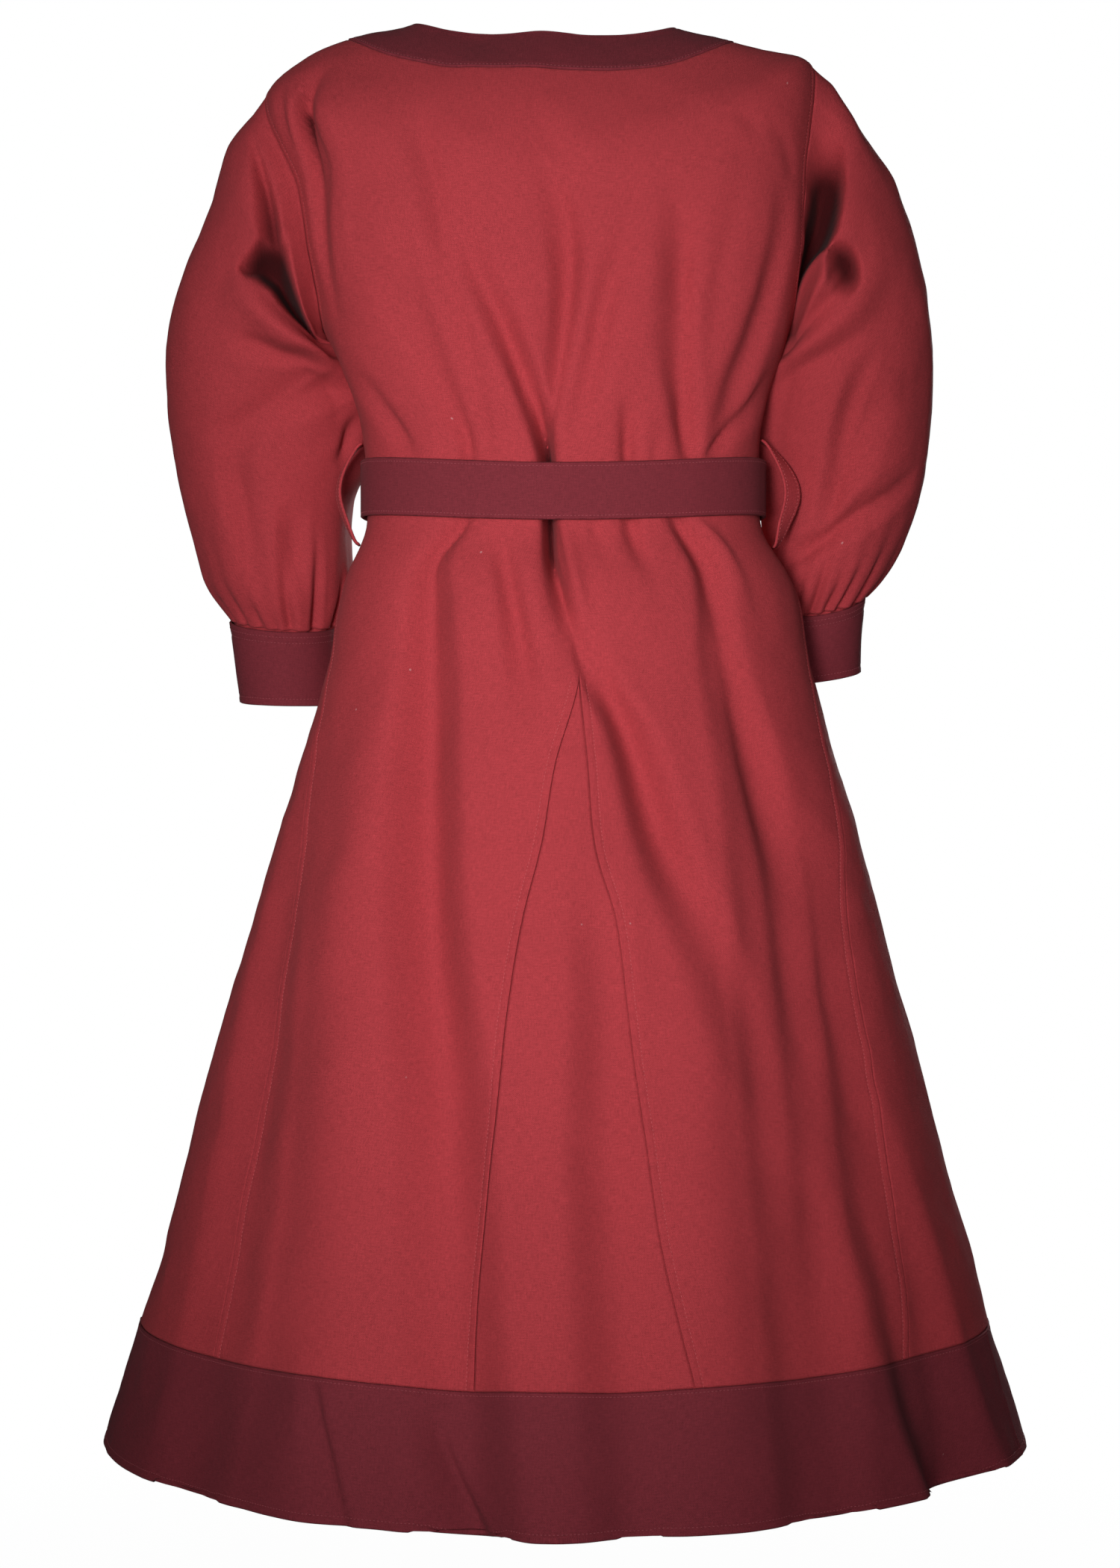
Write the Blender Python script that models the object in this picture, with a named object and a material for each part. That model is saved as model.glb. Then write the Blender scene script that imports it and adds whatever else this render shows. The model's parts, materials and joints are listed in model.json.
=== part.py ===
"""A child's viking dress, worn and filled out, with no wearer in it.

Run it with: blender --background --python part.py

Metres, +Z up. The origin is the middle of the neck opening at shoulder height, where the
dress hangs on its wearer. The front faces -Y, the back +Y, and +X is the wearer's left.
Every piece is one sewn piece of cloth, built as a wall between an outer and an inner sheet.
"""

import math

import bmesh
import bpy
import numpy as np

# Walls and seams
CLOTH_WALL = 0.0014  # one layer of heavy cotton
BAND_WALL = 0.0022  # two layers: neckband, cuffs, hem band
BELT_WALL = 0.0024
LOOP_WALL = 0.0016
SEAM_GAP = 0.0003  # between two pieces at a seam
WELD = 1e-6  # points nearer than this are one point

# Heights down the back, measured from the origin
NECKBAND_EDGE = 0.032
SHOULDER_TIP = 0.072
UNDERARM = 0.190
SIDE_GORE_TOP = 0.345
BACK_GORE_TOP = 0.402
BACK_GORE_TIP = 0.006  # how far below its slit's end the gore's own tip lies
SIDE_GORE_TIP = 0.002
BACK_GORE_ANGLE = 93.4  # degrees round from the wearer's left
BAND_SEAM = 0.806
HEM = 0.880
HEM_BAND_RIGHT_SEAM = 170.0  # degrees round from the wearer's left

# The belt lies on the waist and is closed by a plain lap in front
BELT_TOP = 0.2775
BELT_BOTTOM = 0.3105
BELT_CLEARANCE = 0.0007
BELT_START, BELT_LAP = 262.0, 24.0  # degrees
BELT_COLUMNS = 72

# The armhole is an oval cut in the side of the body, between shoulder tip and underarm
ARMHOLE_HALF_ANGLE = 13.5
ARMHOLE_STEPS = 10

CUFF_DEPTH = 0.050
GATHERS = 20  # round each cuff
GATHER_DEPTH = 0.0030
GATHER_RISE = 0.30  # share of the sleeve that the gathers run up

RED = (0.42, 0.045, 0.055, 1.0)
WINE = (0.155, 0.022, 0.032, 1.0)


def columns(names, rows):
    """A table as one array for each named column."""
    return {name: np.array(values, float) for name, values in zip(names.split(), zip(*rows))}


# One row for each section of the body, from the neck down. down, side and front are how far
# the ring lies below the origin at the centre back, at the sides and at the centre front.
# tilt is how much lower its left side is than its right, rise how late it climbs to the side.
BODY = columns(
    "down side tilt rise front middle half back_depth front_depth square",
    [
        (0.004, -0.008, 0.000, 3.6, 0.028, 0.0103, 0.0825, 0.030, 0.060, 2.4),
        (0.032, 0.002, 0.000, 3.6, 0.062, 0.0120, 0.1210, 0.058, 0.086, 2.5),
        (0.052, 0.0115, 0.004, 3.2, 0.083, 0.0100, 0.1470, 0.071, 0.091, 2.6),
        (0.072, 0.0255, 0.017, 2.8, 0.104, 0.0127, 0.1675, 0.080, 0.094, 2.8),
        (0.125, 0.095, 0.006, 2.4, 0.146, 0.0050, 0.1605, 0.089, 0.097, 2.9),
        (0.190, 0.184, 0.000, 2.0, 0.194, 0.0018, 0.1455, 0.089, 0.097, 2.6),
        (0.235, 0.230, 0.000, 2.0, 0.235, 0.0000, 0.1300, 0.084, 0.091, 2.4),
        (0.272, 0.2625, 0.000, 2.0, 0.265, -0.0015, 0.1240, 0.079, 0.083, 2.2),
        (0.294, 0.285, 0.000, 2.0, 0.287, -0.0020, 0.1240, 0.079, 0.083, 2.2),
        (0.316, 0.308, 0.000, 2.0, 0.309, -0.0025, 0.1240, 0.079, 0.083, 2.2),
        (0.345, 0.340, 0.000, 2.0, 0.341, -0.0042, 0.1390, 0.091, 0.090, 2.05),
        (0.402, 0.402, 0.000, 2.0, 0.402, -0.0055, 0.1530, 0.106, 0.103, 1.95),
        (0.470, 0.470, 0.000, 2.0, 0.470, -0.0055, 0.1730, 0.126, 0.120, 1.9),
        (0.560, 0.560, 0.000, 2.0, 0.560, -0.0040, 0.1985, 0.152, 0.143, 1.85),
        (0.660, 0.660, 0.000, 2.0, 0.660, -0.0035, 0.2260, 0.180, 0.170, 1.8),
        (0.740, 0.740, 0.000, 2.0, 0.740, -0.0040, 0.2475, 0.203, 0.191, 1.8),
        (0.806, 0.806, 0.000, 2.0, 0.806, -0.0035, 0.2660, 0.221, 0.209, 1.8),
        (0.880, 0.880, 0.000, 2.0, 0.880, -0.0030, 0.2885, 0.241, 0.229, 1.8),
    ],
)

# The gores' edges: degrees from the side line, and of the two edges of the back gore
GORES = columns(
    "down side_gore back_left back_right",
    [
        (0.345, 0.0, 93.4, 93.4),
        (0.402, 7.2, 93.4, 93.4),
        (0.458, 12.7, 86.0, 95.2),
        (0.507, 17.5, 83.1, 96.8),
        (0.546, 20.7, 80.0, 100.9),
        (0.600, 23.0, 78.0, 102.8),
        (0.660, 24.8, 77.0, 104.0),
        (0.740, 27.6, 75.3, 105.6),
        (0.806, 30.0, 75.6, 108.5),
    ],
)

# The largest folds of the body: how far down, degrees from the wearer's left (0) round the
# back (90), how far out the cloth is pushed, and half the fold's width
FOLD = "down angle depth width"
FOLDS = {
    # bodice, back
    "centre pleat": columns(FOLD, [
        (0.050, 45, 0.000, 0.018),
        (0.107, 53, -0.003, 0.020),
        (0.140, 56, -0.004, 0.020),
        (0.193, 69, -0.006, 0.016),
        (0.262, 82, -0.012, 0.009),
        (0.311, 84, -0.012, 0.007),
        (0.341, 86, -0.010, 0.010),
        (0.399, 94, 0.000, 0.014),
    ]),
    "pleat's right arm": columns(FOLD, [
        (0.093, 92, 0.000, 0.014),
        (0.131, 94, -0.003, 0.016),
        (0.166, 95, -0.005, 0.014),
        (0.250, 87, 0.000, 0.010),
    ]),
    "right drag line": columns(FOLD, [
        (0.109, 132, 0.000, 0.014),
        (0.155, 132, -0.004, 0.016),
        (0.193, 131, -0.005, 0.016),
        (0.275, 140, -0.004, 0.010),
        (0.300, 142, 0.000, 0.010),
    ]),
    "short right line": columns(FOLD, [
        (0.133, 120, 0.000, 0.012),
        (0.166, 111, -0.003, 0.014),
        (0.240, 98, -0.004, 0.012),
        (0.272, 92, 0.000, 0.010),
    ]),
    "left drag line": columns(FOLD, [
        (0.150, 34, 0.000, 0.018),
        (0.220, 45, -0.005, 0.016),
        (0.271, 51, -0.005, 0.011),
        (0.300, 53, -0.002, 0.010),
        (0.334, 42, -0.006, 0.012),
        (0.359, 43, -0.009, 0.018),
        (0.448, 49, -0.015, 0.027),
        (0.535, 56, -0.017, 0.031),
        (0.630, 65, -0.017, 0.034),
        (0.750, 71, -0.015, 0.037),
        (0.880, 77, -0.015, 0.040),
    ]),
    "right tuck": columns(FOLD, [
        (0.235, 118, 0.000, 0.010),
        (0.274, 118, -0.005, 0.008),
        (0.316, 118, -0.004, 0.008),
        (0.345, 119, 0.000, 0.010),
    ]),
    "left armhole fold": columns(FOLD, [
        (0.050, 16, 0.000, 0.012),
        (0.070, 22, -0.007, 0.013),
        (0.102, 26, -0.011, 0.013),
        (0.143, 24, -0.006, 0.014),
        (0.185, 22, 0.000, 0.014),
    ]),
    "right armhole fold": columns(FOLD, [
        (0.120, 158, 0.000, 0.012),
        (0.180, 156, -0.006, 0.014),
        (0.235, 152, -0.005, 0.014),
        (0.285, 150, 0.000, 0.010),
    ]),
    # skirt, back
    "gore's right valley": columns(FOLD, [
        (0.330, 97, 0.000, 0.010),
        (0.406, 99, -0.009, 0.014),
        (0.436, 107, -0.012, 0.018),
        (0.473, 111, -0.013, 0.021),
        (0.516, 115, -0.010, 0.024),
        (0.575, 122, -0.006, 0.026),
        (0.660, 127, 0.000, 0.028),
    ]),
    "left short valley": columns(FOLD, [
        (0.318, 62, 0.000, 0.010),
        (0.346, 68, -0.005, 0.011),
        (0.393, 74, -0.005, 0.014),
        (0.440, 78, 0.000, 0.016),
    ]),
    "right long valley": columns(FOLD, [
        (0.300, 134, 0.000, 0.010),
        (0.325, 139, -0.006, 0.012),
        (0.393, 138, -0.010, 0.018),
        (0.449, 139, -0.016, 0.027),
        (0.525, 139, -0.020, 0.034),
        (0.665, 133, -0.016, 0.038),
        (0.880, 127, -0.011, 0.040),
    ]),
    "valley in the gore": columns(FOLD, [
        (0.500, 96, 0.000, 0.018),
        (0.598, 98, -0.006, 0.024),
        (0.660, 97, -0.007, 0.026),
        (0.880, 99, -0.004, 0.030),
    ]),
    "gore's ridge": columns(FOLD, [
        (0.480, 88, 0.000, 0.030),
        (0.660, 87, 0.004, 0.040),
        (0.880, 88, 0.012, 0.050),
    ]),
    "left ridge": columns(FOLD, [
        (0.390, 33, 0.000, 0.030),
        (0.492, 37, 0.006, 0.034),
        (0.705, 50, 0.009, 0.045),
        (0.880, 54, 0.008, 0.050),
    ]),
    "right ridge": columns(FOLD, [
        (0.480, 122, 0.000, 0.030),
        (0.578, 119, 0.005, 0.034),
        (0.702, 114, 0.007, 0.040),
        (0.880, 112, 0.007, 0.045),
    ]),
    "right side valley": columns(FOLD, [
        (0.560, 146, 0.000, 0.030),
        (0.680, 148, -0.010, 0.040),
        (0.760, 150, -0.020, 0.044),
        (0.806, 151, -0.028, 0.046),
        (0.845, 152, -0.035, 0.048),
        (0.880, 154, -0.042, 0.050),
    ]),
    "left side valley": columns(FOLD, [
        (0.430, 16, 0.000, 0.024),
        (0.560, 20, -0.007, 0.034),
        (0.720, 28, -0.008, 0.040),
        (0.880, 32, -0.006, 0.045),
    ]),
    # bodice, front
    "front left drag line": columns(FOLD, [
        (0.110, 296, 0.000, 0.016),
        (0.190, 290, -0.004, 0.018),
        (0.275, 281, -0.006, 0.010),
        (0.345, 284, -0.008, 0.014),
        (0.560, 290, -0.013, 0.034),
        (0.880, 295, -0.014, 0.045),
    ]),
    "front right drag line": columns(FOLD, [
        (0.130, 243, 0.000, 0.016),
        (0.200, 250, -0.004, 0.018),
        (0.275, 258, -0.005, 0.010),
        (0.345, 254, -0.008, 0.014),
        (0.560, 247, -0.012, 0.032),
        (0.880, 241, -0.014, 0.045),
    ]),
    # skirt, front
    "front ridge": columns(FOLD, [
        (0.400, 270, 0.000, 0.035),
        (0.640, 269, 0.007, 0.050),
        (0.880, 268, 0.011, 0.060),
    ]),
    "front left ridge": columns(FOLD, [
        (0.420, 314, 0.000, 0.030),
        (0.640, 318, 0.007, 0.042),
        (0.880, 320, 0.010, 0.050),
    ]),
    "front right ridge": columns(FOLD, [
        (0.430, 223, 0.000, 0.030),
        (0.660, 219, 0.006, 0.040),
        (0.880, 216, 0.010, 0.050),
    ]),
    "front left valley": columns(FOLD, [
        (0.380, 333, 0.000, 0.020),
        (0.600, 339, -0.009, 0.034),
        (0.880, 342, -0.015, 0.042),
    ]),
    "front right valley": columns(FOLD, [
        (0.400, 202, 0.000, 0.020),
        (0.620, 197, -0.008, 0.034),
        (0.880, 193, -0.012, 0.042),
    ]),
}

# One row for each section of a sleeve. The outer and inner points are the section's two ends
# seen from behind; drop is how much lower its back lies than its middle.
SLEEVE = {
    "left": columns(
        "share outer outer_down inner inner_down forward half_depth drop",
        [
            (0.00, 0.1802, 0.034, 0.1490, 0.184, 0.000, 0.058, 0.000),
            (0.12, 0.2010, 0.062, 0.1505, 0.194, -0.006, 0.060, 0.002),
            (0.24, 0.2200, 0.101, 0.1440, 0.207, -0.012, 0.059, 0.003),
            (0.36, 0.2390, 0.142, 0.1325, 0.222, -0.019, 0.057, 0.004),
            (0.48, 0.2510, 0.184, 0.1280, 0.241, -0.028, 0.056, 0.005),
            (0.60, 0.2520, 0.224, 0.1275, 0.263, -0.040, 0.056, 0.006),
            (0.72, 0.2465, 0.266, 0.1325, 0.290, -0.051, 0.055, 0.007),
            (0.84, 0.2370, 0.308, 0.1335, 0.322, -0.059, 0.052, 0.008),
            (0.93, 0.2270, 0.342, 0.1370, 0.348, -0.064, 0.045, 0.008),
            (1.00, 0.2135, 0.364, 0.1435, 0.368, -0.067, 0.034, 0.007),
        ],
    ),
    "right": columns(
        "share outer outer_down inner inner_down forward half_depth drop",
        [
            (0.00, 0.1555, 0.017, 0.1440, 0.184, 0.000, 0.058, 0.000),
            (0.12, 0.1880, 0.047, 0.1450, 0.193, -0.006, 0.060, 0.002),
            (0.24, 0.2110, 0.088, 0.1395, 0.206, -0.012, 0.059, 0.003),
            (0.36, 0.2275, 0.131, 0.1345, 0.220, -0.019, 0.057, 0.004),
            (0.48, 0.2370, 0.174, 0.1308, 0.237, -0.028, 0.056, 0.005),
            (0.60, 0.2395, 0.214, 0.1295, 0.257, -0.040, 0.056, 0.006),
            (0.72, 0.2350, 0.256, 0.1335, 0.281, -0.051, 0.055, 0.007),
            (0.84, 0.2265, 0.296, 0.1335, 0.309, -0.059, 0.052, 0.009),
            (0.93, 0.2140, 0.326, 0.1320, 0.334, -0.064, 0.045, 0.011),
            (1.00, 0.1995, 0.347, 0.1320, 0.356, -0.067, 0.034, 0.011),
        ],
    ),
}

# How each cuff ends: the outer and inner ends of its lower edge
CUFF = {
    "left": dict(outer=0.2065, outer_down=0.4160, inner=0.1390, inner_down=0.4170, forward=-0.072),
    "right": dict(outer=0.1965, outer_down=0.3960, inner=0.1300, inner_down=0.4040, forward=-0.072),
}

# Folds that run down a sleeve, by share of its length and degrees from its outer side (0)
# round its back (90), and folds that cross it, from which the cloth bulges
LONG_FOLD = "share turn depth width"
CROSS_FOLD = "turn share depth width"
SLEEVE_LENGTH = 0.34
SLEEVE_FOLDS = {
    "left": [
        columns(LONG_FOLD, [
            (0.04, 126, 0.000, 0.012),
            (0.10, 122, -0.009, 0.014),
            (0.16, 118, -0.013, 0.014),
            (0.27, 112, 0.000, 0.014),
        ]),
        columns(LONG_FOLD, [
            (0.30, 165, 0.000, 0.020),
            (0.40, 140, -0.006, 0.020),
            (0.52, 108, -0.006, 0.018),
            (0.62, 81, -0.005, 0.016),
            (0.80, 76, -0.005, 0.014),
            (0.95, 79, 0.000, 0.010),
        ]),
        columns(LONG_FOLD, [
            (0.73, 112, 0.000, 0.012),
            (0.83, 109, -0.005, 0.014),
            (0.93, 106, 0.000, 0.012),
        ]),
        columns(LONG_FOLD, [
            (0.10, 262, 0.000, 0.014),
            (0.32, 258, -0.008, 0.018),
            (0.55, 254, -0.006, 0.020),
            (0.75, 250, 0.000, 0.018),
        ]),
    ],
    "right": [
        columns(LONG_FOLD, [
            (0.03, 126, 0.000, 0.012),
            (0.09, 122, -0.012, 0.016),
            (0.16, 118, -0.017, 0.017),
            (0.29, 108, 0.000, 0.016),
        ]),
        columns(LONG_FOLD, [
            (0.46, 84, 0.000, 0.014),
            (0.55, 90, -0.006, 0.016),
            (0.68, 98, -0.008, 0.016),
            (0.79, 106, -0.005, 0.014),
            (0.88, 111, 0.000, 0.012),
        ]),
        columns(LONG_FOLD, [
            (0.08, 265, 0.000, 0.014),
            (0.30, 262, -0.009, 0.018),
            (0.50, 268, -0.006, 0.020),
            (0.78, 262, 0.000, 0.018),
        ]),
    ],
}
SLEEVE_BENDS = {
    "left": [
        columns(CROSS_FOLD, [
            (66, 0.235, 0.000, 0.018),
            (88, 0.255, -0.011, 0.020),
            (112, 0.230, -0.013, 0.020),
            (140, 0.215, -0.014, 0.017),
            (168, 0.225, -0.006, 0.016),
            (190, 0.240, 0.000, 0.018),
        ]),
        columns(CROSS_FOLD, [
            (60, 0.350, 0.000, 0.026),
            (100, 0.350, 0.007, 0.026),
            (140, 0.320, 0.007, 0.024),
            (175, 0.330, 0.000, 0.024),
        ]),
        columns(CROSS_FOLD, [
            (215, 0.250, 0.000, 0.018),
            (245, 0.270, -0.010, 0.018),
            (285, 0.250, -0.006, 0.018),
            (312, 0.240, 0.000, 0.018),
        ]),
    ],
    "right": [
        columns(CROSS_FOLD, [
            (64, 0.255, 0.000, 0.018),
            (84, 0.250, -0.010, 0.018),
            (104, 0.225, -0.012, 0.020),
            (130, 0.205, -0.013, 0.017),
            (160, 0.215, -0.006, 0.016),
            (186, 0.230, 0.000, 0.018),
        ]),
        columns(CROSS_FOLD, [
            (60, 0.345, 0.000, 0.026),
            (96, 0.345, 0.007, 0.026),
            (136, 0.315, 0.007, 0.024),
            (172, 0.325, 0.000, 0.024),
        ]),
        columns(CROSS_FOLD, [
            (30, 0.760, 0.000, 0.014),
            (52, 0.785, -0.005, 0.015),
            (90, 0.830, -0.006, 0.015),
            (129, 0.875, -0.004, 0.014),
            (150, 0.890, 0.000, 0.014),
        ]),
        columns(CROSS_FOLD, [
            (210, 0.240, 0.000, 0.018),
            (248, 0.260, -0.011, 0.018),
            (280, 0.250, -0.006, 0.018),
            (308, 0.235, 0.000, 0.018),
        ]),
    ],
}


def smooth(table, column, at, key="down"):
    """The value of a column between the table's rows, on a curve with no kinks."""
    places, values = table[key], table[column]
    slopes = np.gradient(values, places)
    at = np.clip(at, places[0], places[-1])
    i = np.clip(np.searchsorted(places, at) - 1, 0, len(places) - 2)
    step = places[i + 1] - places[i]
    t = (at - places[i]) / step
    start = (1 + 2 * t) * (1 - t) ** 2 * values[i] + t * (1 - t) ** 2 * step * slopes[i]
    end = t * t * (3 - 2 * t) * values[i + 1] + t * t * (t - 1) * step * slopes[i + 1]
    return start + end


def stack(x, y, z):
    return np.stack(np.broadcast_arrays(x, y, z), axis=-1)


def unit(vectors):
    return vectors / np.maximum(np.linalg.norm(vectors, axis=-1, keepdims=True), 1e-12)


def ease(t):
    t = np.clip(t, 0.0, 1.0)
    return t * t * (3 - 2 * t)


def bump(across):
    """1 on a fold's line, falling smoothly to 0 at its edges."""
    return np.clip(1 - across**2, 0.0, 1.0) ** 2


def fold_depth(fold, key, line, along, across, scale, turn=360.0):
    """How far one fold pushes the cloth out, at places given along and across it."""
    line = smooth(fold, line, along, key)
    off = (across - line + turn / 2) % turn - turn / 2
    depth = smooth(fold, "depth", along, key) * bump(off * scale / smooth(fold, "width", along, key))
    return np.where((along >= fold[key][0]) & (along <= fold[key][-1]), depth, 0.0)


def normals_of(surface, along, turn, along_step, turn_step=0.05):
    """Outward normals of a surface, from its slopes both ways."""
    round_it = surface(along, turn + turn_step) - surface(along, turn - turn_step)
    down_it = surface(along + along_step, turn) - surface(along - along_step, turn)
    return unit(np.cross(down_it, round_it))


def body_ring_radius(down, angle):
    c, s = np.cos(np.radians(angle)), np.sin(np.radians(angle))
    depth = np.where(s >= 0, smooth(BODY, "back_depth", down), smooth(BODY, "front_depth", down))
    power = smooth(BODY, "square", down)
    across = (np.abs(c) / smooth(BODY, "half", down)) ** power
    return (across + (np.abs(s) / depth) ** power) ** (-1 / power)


def plain_body(down, angle):
    """The body with no folds. down is measured at the centre back."""
    c, s = np.cos(np.radians(angle)), np.sin(np.radians(angle))
    radius = body_ring_radius(down, angle)
    middle_level = np.where(s >= 0, down, smooth(BODY, "front", down))
    across = np.clip(radius * c / smooth(BODY, "half", down), -1.0, 1.0)
    climb = np.abs(across) ** smooth(BODY, "rise", down)
    side_level = smooth(BODY, "side", down) + across * smooth(BODY, "tilt", down) / 2
    level = middle_level + climb * (side_level - middle_level)
    below = np.maximum(down - HEM, 0.0)
    return stack(smooth(BODY, "middle", down) + radius * c, radius * s, -level - below)


def body(down, angle):
    """The body with its folds."""
    per_degree = np.radians(body_ring_radius(down, angle))
    depth = sum(fold_depth(f, "down", "angle", down, angle, per_degree) for f in FOLDS.values())
    out = normals_of(plain_body, down, angle, 1e-4)
    return plain_body(down, angle) + depth[..., None] * out


def belt_line(down, angle):
    """The outside of the belt, before its lap, and its normals: the waist's section, straight up."""

    def waist_ring(down, angle):
        ring = plain_body((BELT_TOP + BELT_BOTTOM) / 2 + 0.0 * down, angle)
        return stack(ring[..., 0], ring[..., 1], -down + 0.0 * angle)

    out = normals_of(waist_ring, down, angle, 1e-4)
    points = waist_ring(down, angle)
    points[..., 2] = plain_body(down, angle)[..., 2]
    return points + (BELT_CLEARANCE + BELT_WALL) * out, out


def side_sign(side):
    return 1.0 if side == "left" else -1.0


def armhole(side, turn):
    """The armhole's edge: 0 is the shoulder tip, 90 its back, 180 the underarm."""
    share = (1 - np.cos(np.radians(turn))) / 2
    down = SHOULDER_TIP + share * (UNDERARM - SHOULDER_TIP)
    angle = ARMHOLE_HALF_ANGLE * np.sin(np.radians(turn))
    return down, angle if side == "left" else 180.0 - angle


def plain_sleeve(side, share, turn):
    """The sleeve with no folds: an oval between its outer and inner points."""
    table, sign = SLEEVE[side], side_sign(side)
    c, s = np.cos(np.radians(turn)), np.sin(np.radians(turn))

    def at(column):
        return smooth(table, column, share, key="share")

    x = sign * ((at("outer") + at("inner")) / 2 + c * (at("outer") - at("inner")) / 2)
    y = at("forward") + s * at("half_depth")
    level = (at("outer_down") + at("inner_down")) / 2 + c * (at("outer_down") - at("inner_down")) / 2
    return stack(x, y, -(level + s * at("drop")))


def sleeve_form(side, share, turn):
    """The sleeve joined to its armhole, with folds and gathers."""
    down, angle = armhole(side, turn)
    edge = body(down, angle)
    plain = plain_sleeve(side, share, turn)
    join = ease(share / 0.2)[..., None]
    shaped = (1 - join) * (edge + plain - plain_sleeve(side, 0.0 * share, turn)) + join * plain
    per_degree = np.radians(smooth(SLEEVE[side], "half_depth", share, key="share"))
    depth = sum(fold_depth(f, "share", "turn", share, turn, per_degree) for f in SLEEVE_FOLDS[side])
    for bend in SLEEVE_BENDS[side]:
        depth = depth + fold_depth(bend, "turn", "share", turn % 360.0, share, SLEEVE_LENGTH, 2.0)
    rise = np.clip((share - 1 + GATHER_RISE) / GATHER_RISE, 0.0, 1.0)
    gather = GATHER_DEPTH * rise**2 * (1 - rise**8) * np.cos(np.radians(turn) * GATHERS)
    return shaped, depth + gather


def sleeve(side, share, turn):
    shaped, depth = sleeve_form(side, share, turn)

    def plain(share, turn):
        return sleeve_form(side, share, turn)[0]

    out = side_sign(side) * normals_of(plain, share, turn, 1e-3)
    return shaped + depth[..., None] * out


def cuff(side, share, turn):
    """A cuff from the sleeve's end (0) to its own lower edge (1)."""
    table, end, sign = SLEEVE[side], CUFF[side], side_sign(side)
    c, s = np.cos(np.radians(turn)), np.sin(np.radians(turn))
    top = {name: table[name][-1] for name in ("outer", "outer_down", "inner", "inner_down", "forward")}

    def at(name):
        return top[name] + share * (end[name] - top[name])

    half_depth = table["half_depth"][-1] - 0.001 * share
    x = sign * ((at("outer") + at("inner")) / 2 + c * (at("outer") - at("inner")) / 2)
    level = (at("outer_down") + at("inner_down")) / 2 + c * (at("outer_down") - at("inner_down")) / 2
    drop = table["drop"][-1] * (1 - 0.6 * share)
    return stack(x, at("forward") + s * half_depth, -(level + s * drop))


def cloth_material(name, colour, roughness):
    material = bpy.data.materials.new(name)
    material.use_nodes = True
    shader = material.node_tree.nodes["Principled BSDF"]
    shader.inputs["Base Color"].default_value = colour
    shader.inputs["Roughness"].default_value = roughness
    shader.inputs["Metallic"].default_value = 0.0
    material.diffuse_color = colour
    return material


def cloth_piece(name, sheets, thickness, material):
    """One object: a closed wall on grids of outer points and their normals.

    Grids that share points are joined there, and the free edges all round get a rim.
    """
    mesh = bmesh.new()
    outer, inner, uses = {}, {}, {}

    def corner(point, normal):
        key = tuple(int(v) for v in np.round(point / WELD))
        if key not in outer:
            outer[key] = mesh.verts.new(point)
            inner[key] = mesh.verts.new(point - thickness * normal)
        return key

    for points, normals in sheets:
        keys = [[corner(p, n) for p, n in zip(row, ns)] for row, ns in zip(points, normals)]
        for upper, lower in zip(keys, keys[1:]):
            for c in range(len(upper) - 1):
                around = [upper[c], lower[c], lower[c + 1], upper[c + 1]]
                around = [k for i, k in enumerate(around) if k not in around[:i]]
                if len(around) < 3:
                    continue
                mesh.faces.new([outer[k] for k in around])
                mesh.faces.new([inner[k] for k in reversed(around)])
                for a, b in zip(around, around[1:] + around[:1]):
                    uses[a, b] = uses.get((a, b), 0) + 1
    for a, b in uses:
        if (b, a) not in uses:
            mesh.faces.new([outer[b], outer[a], inner[a], inner[b]])
    bmesh.ops.recalc_face_normals(mesh, faces=mesh.faces)
    data = bpy.data.meshes.new(name)
    mesh.to_mesh(data)
    mesh.free()
    data.shade_smooth()
    data.set_sharp_from_angle(angle=math.radians(50))
    data.materials.append(material)
    piece = bpy.data.objects.new(name, data)
    bpy.context.scene.collection.objects.link(piece)
    return piece


def body_sheet(downs, angles):
    """Points and normals of the body on a grid: a row of angles for each height."""
    downs = np.array(downs, float)[:, None] + np.zeros_like(angles)
    return body(downs, angles), normals_of(body, downs, angles, 1e-4)


def spread(start, end, shares):
    """Angles from start to end, one row for each pair, parted like shares."""
    start, end = np.array(start, float), np.array(end, float)
    return start[:, None] + (end - start)[:, None] * np.array(shares, float)[None, :]


def gap_angle(downs, angles):
    """Half a seam's gap as degrees on the ring."""
    return np.degrees(SEAM_GAP / 2 / body_ring_radius(np.array(downs, float), np.array(angles, float)))


def armhole_downs():
    turns = np.linspace(0.0, 180.0, ARMHOLE_STEPS + 1)
    return list(armhole("left", turns)[0])


def panel_edge(down):
    """Degrees from the side line to the panels' edge: shoulder, armhole, side seam, side gore."""
    if SHOULDER_TIP < down < UNDERARM:
        share = (down - SHOULDER_TIP) / (UNDERARM - SHOULDER_TIP)
        return ARMHOLE_HALF_ANGLE * 2 * math.sqrt(share * (1 - share))
    if down > SIDE_GORE_TOP:
        return float(smooth(GORES, "side_gore", down))
    return 0.0


def centre_back(down):
    """Degrees of the two sides of the line that the back gore opens."""
    if down > BACK_GORE_TOP:
        return float(smooth(GORES, "back_left", down)), float(smooth(GORES, "back_right", down))
    line = float(np.interp(down, [0.03, 0.15, 0.29, BACK_GORE_TOP], [90.0, 89.0, 84.0, BACK_GORE_ANGLE]))
    return line, line


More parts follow.
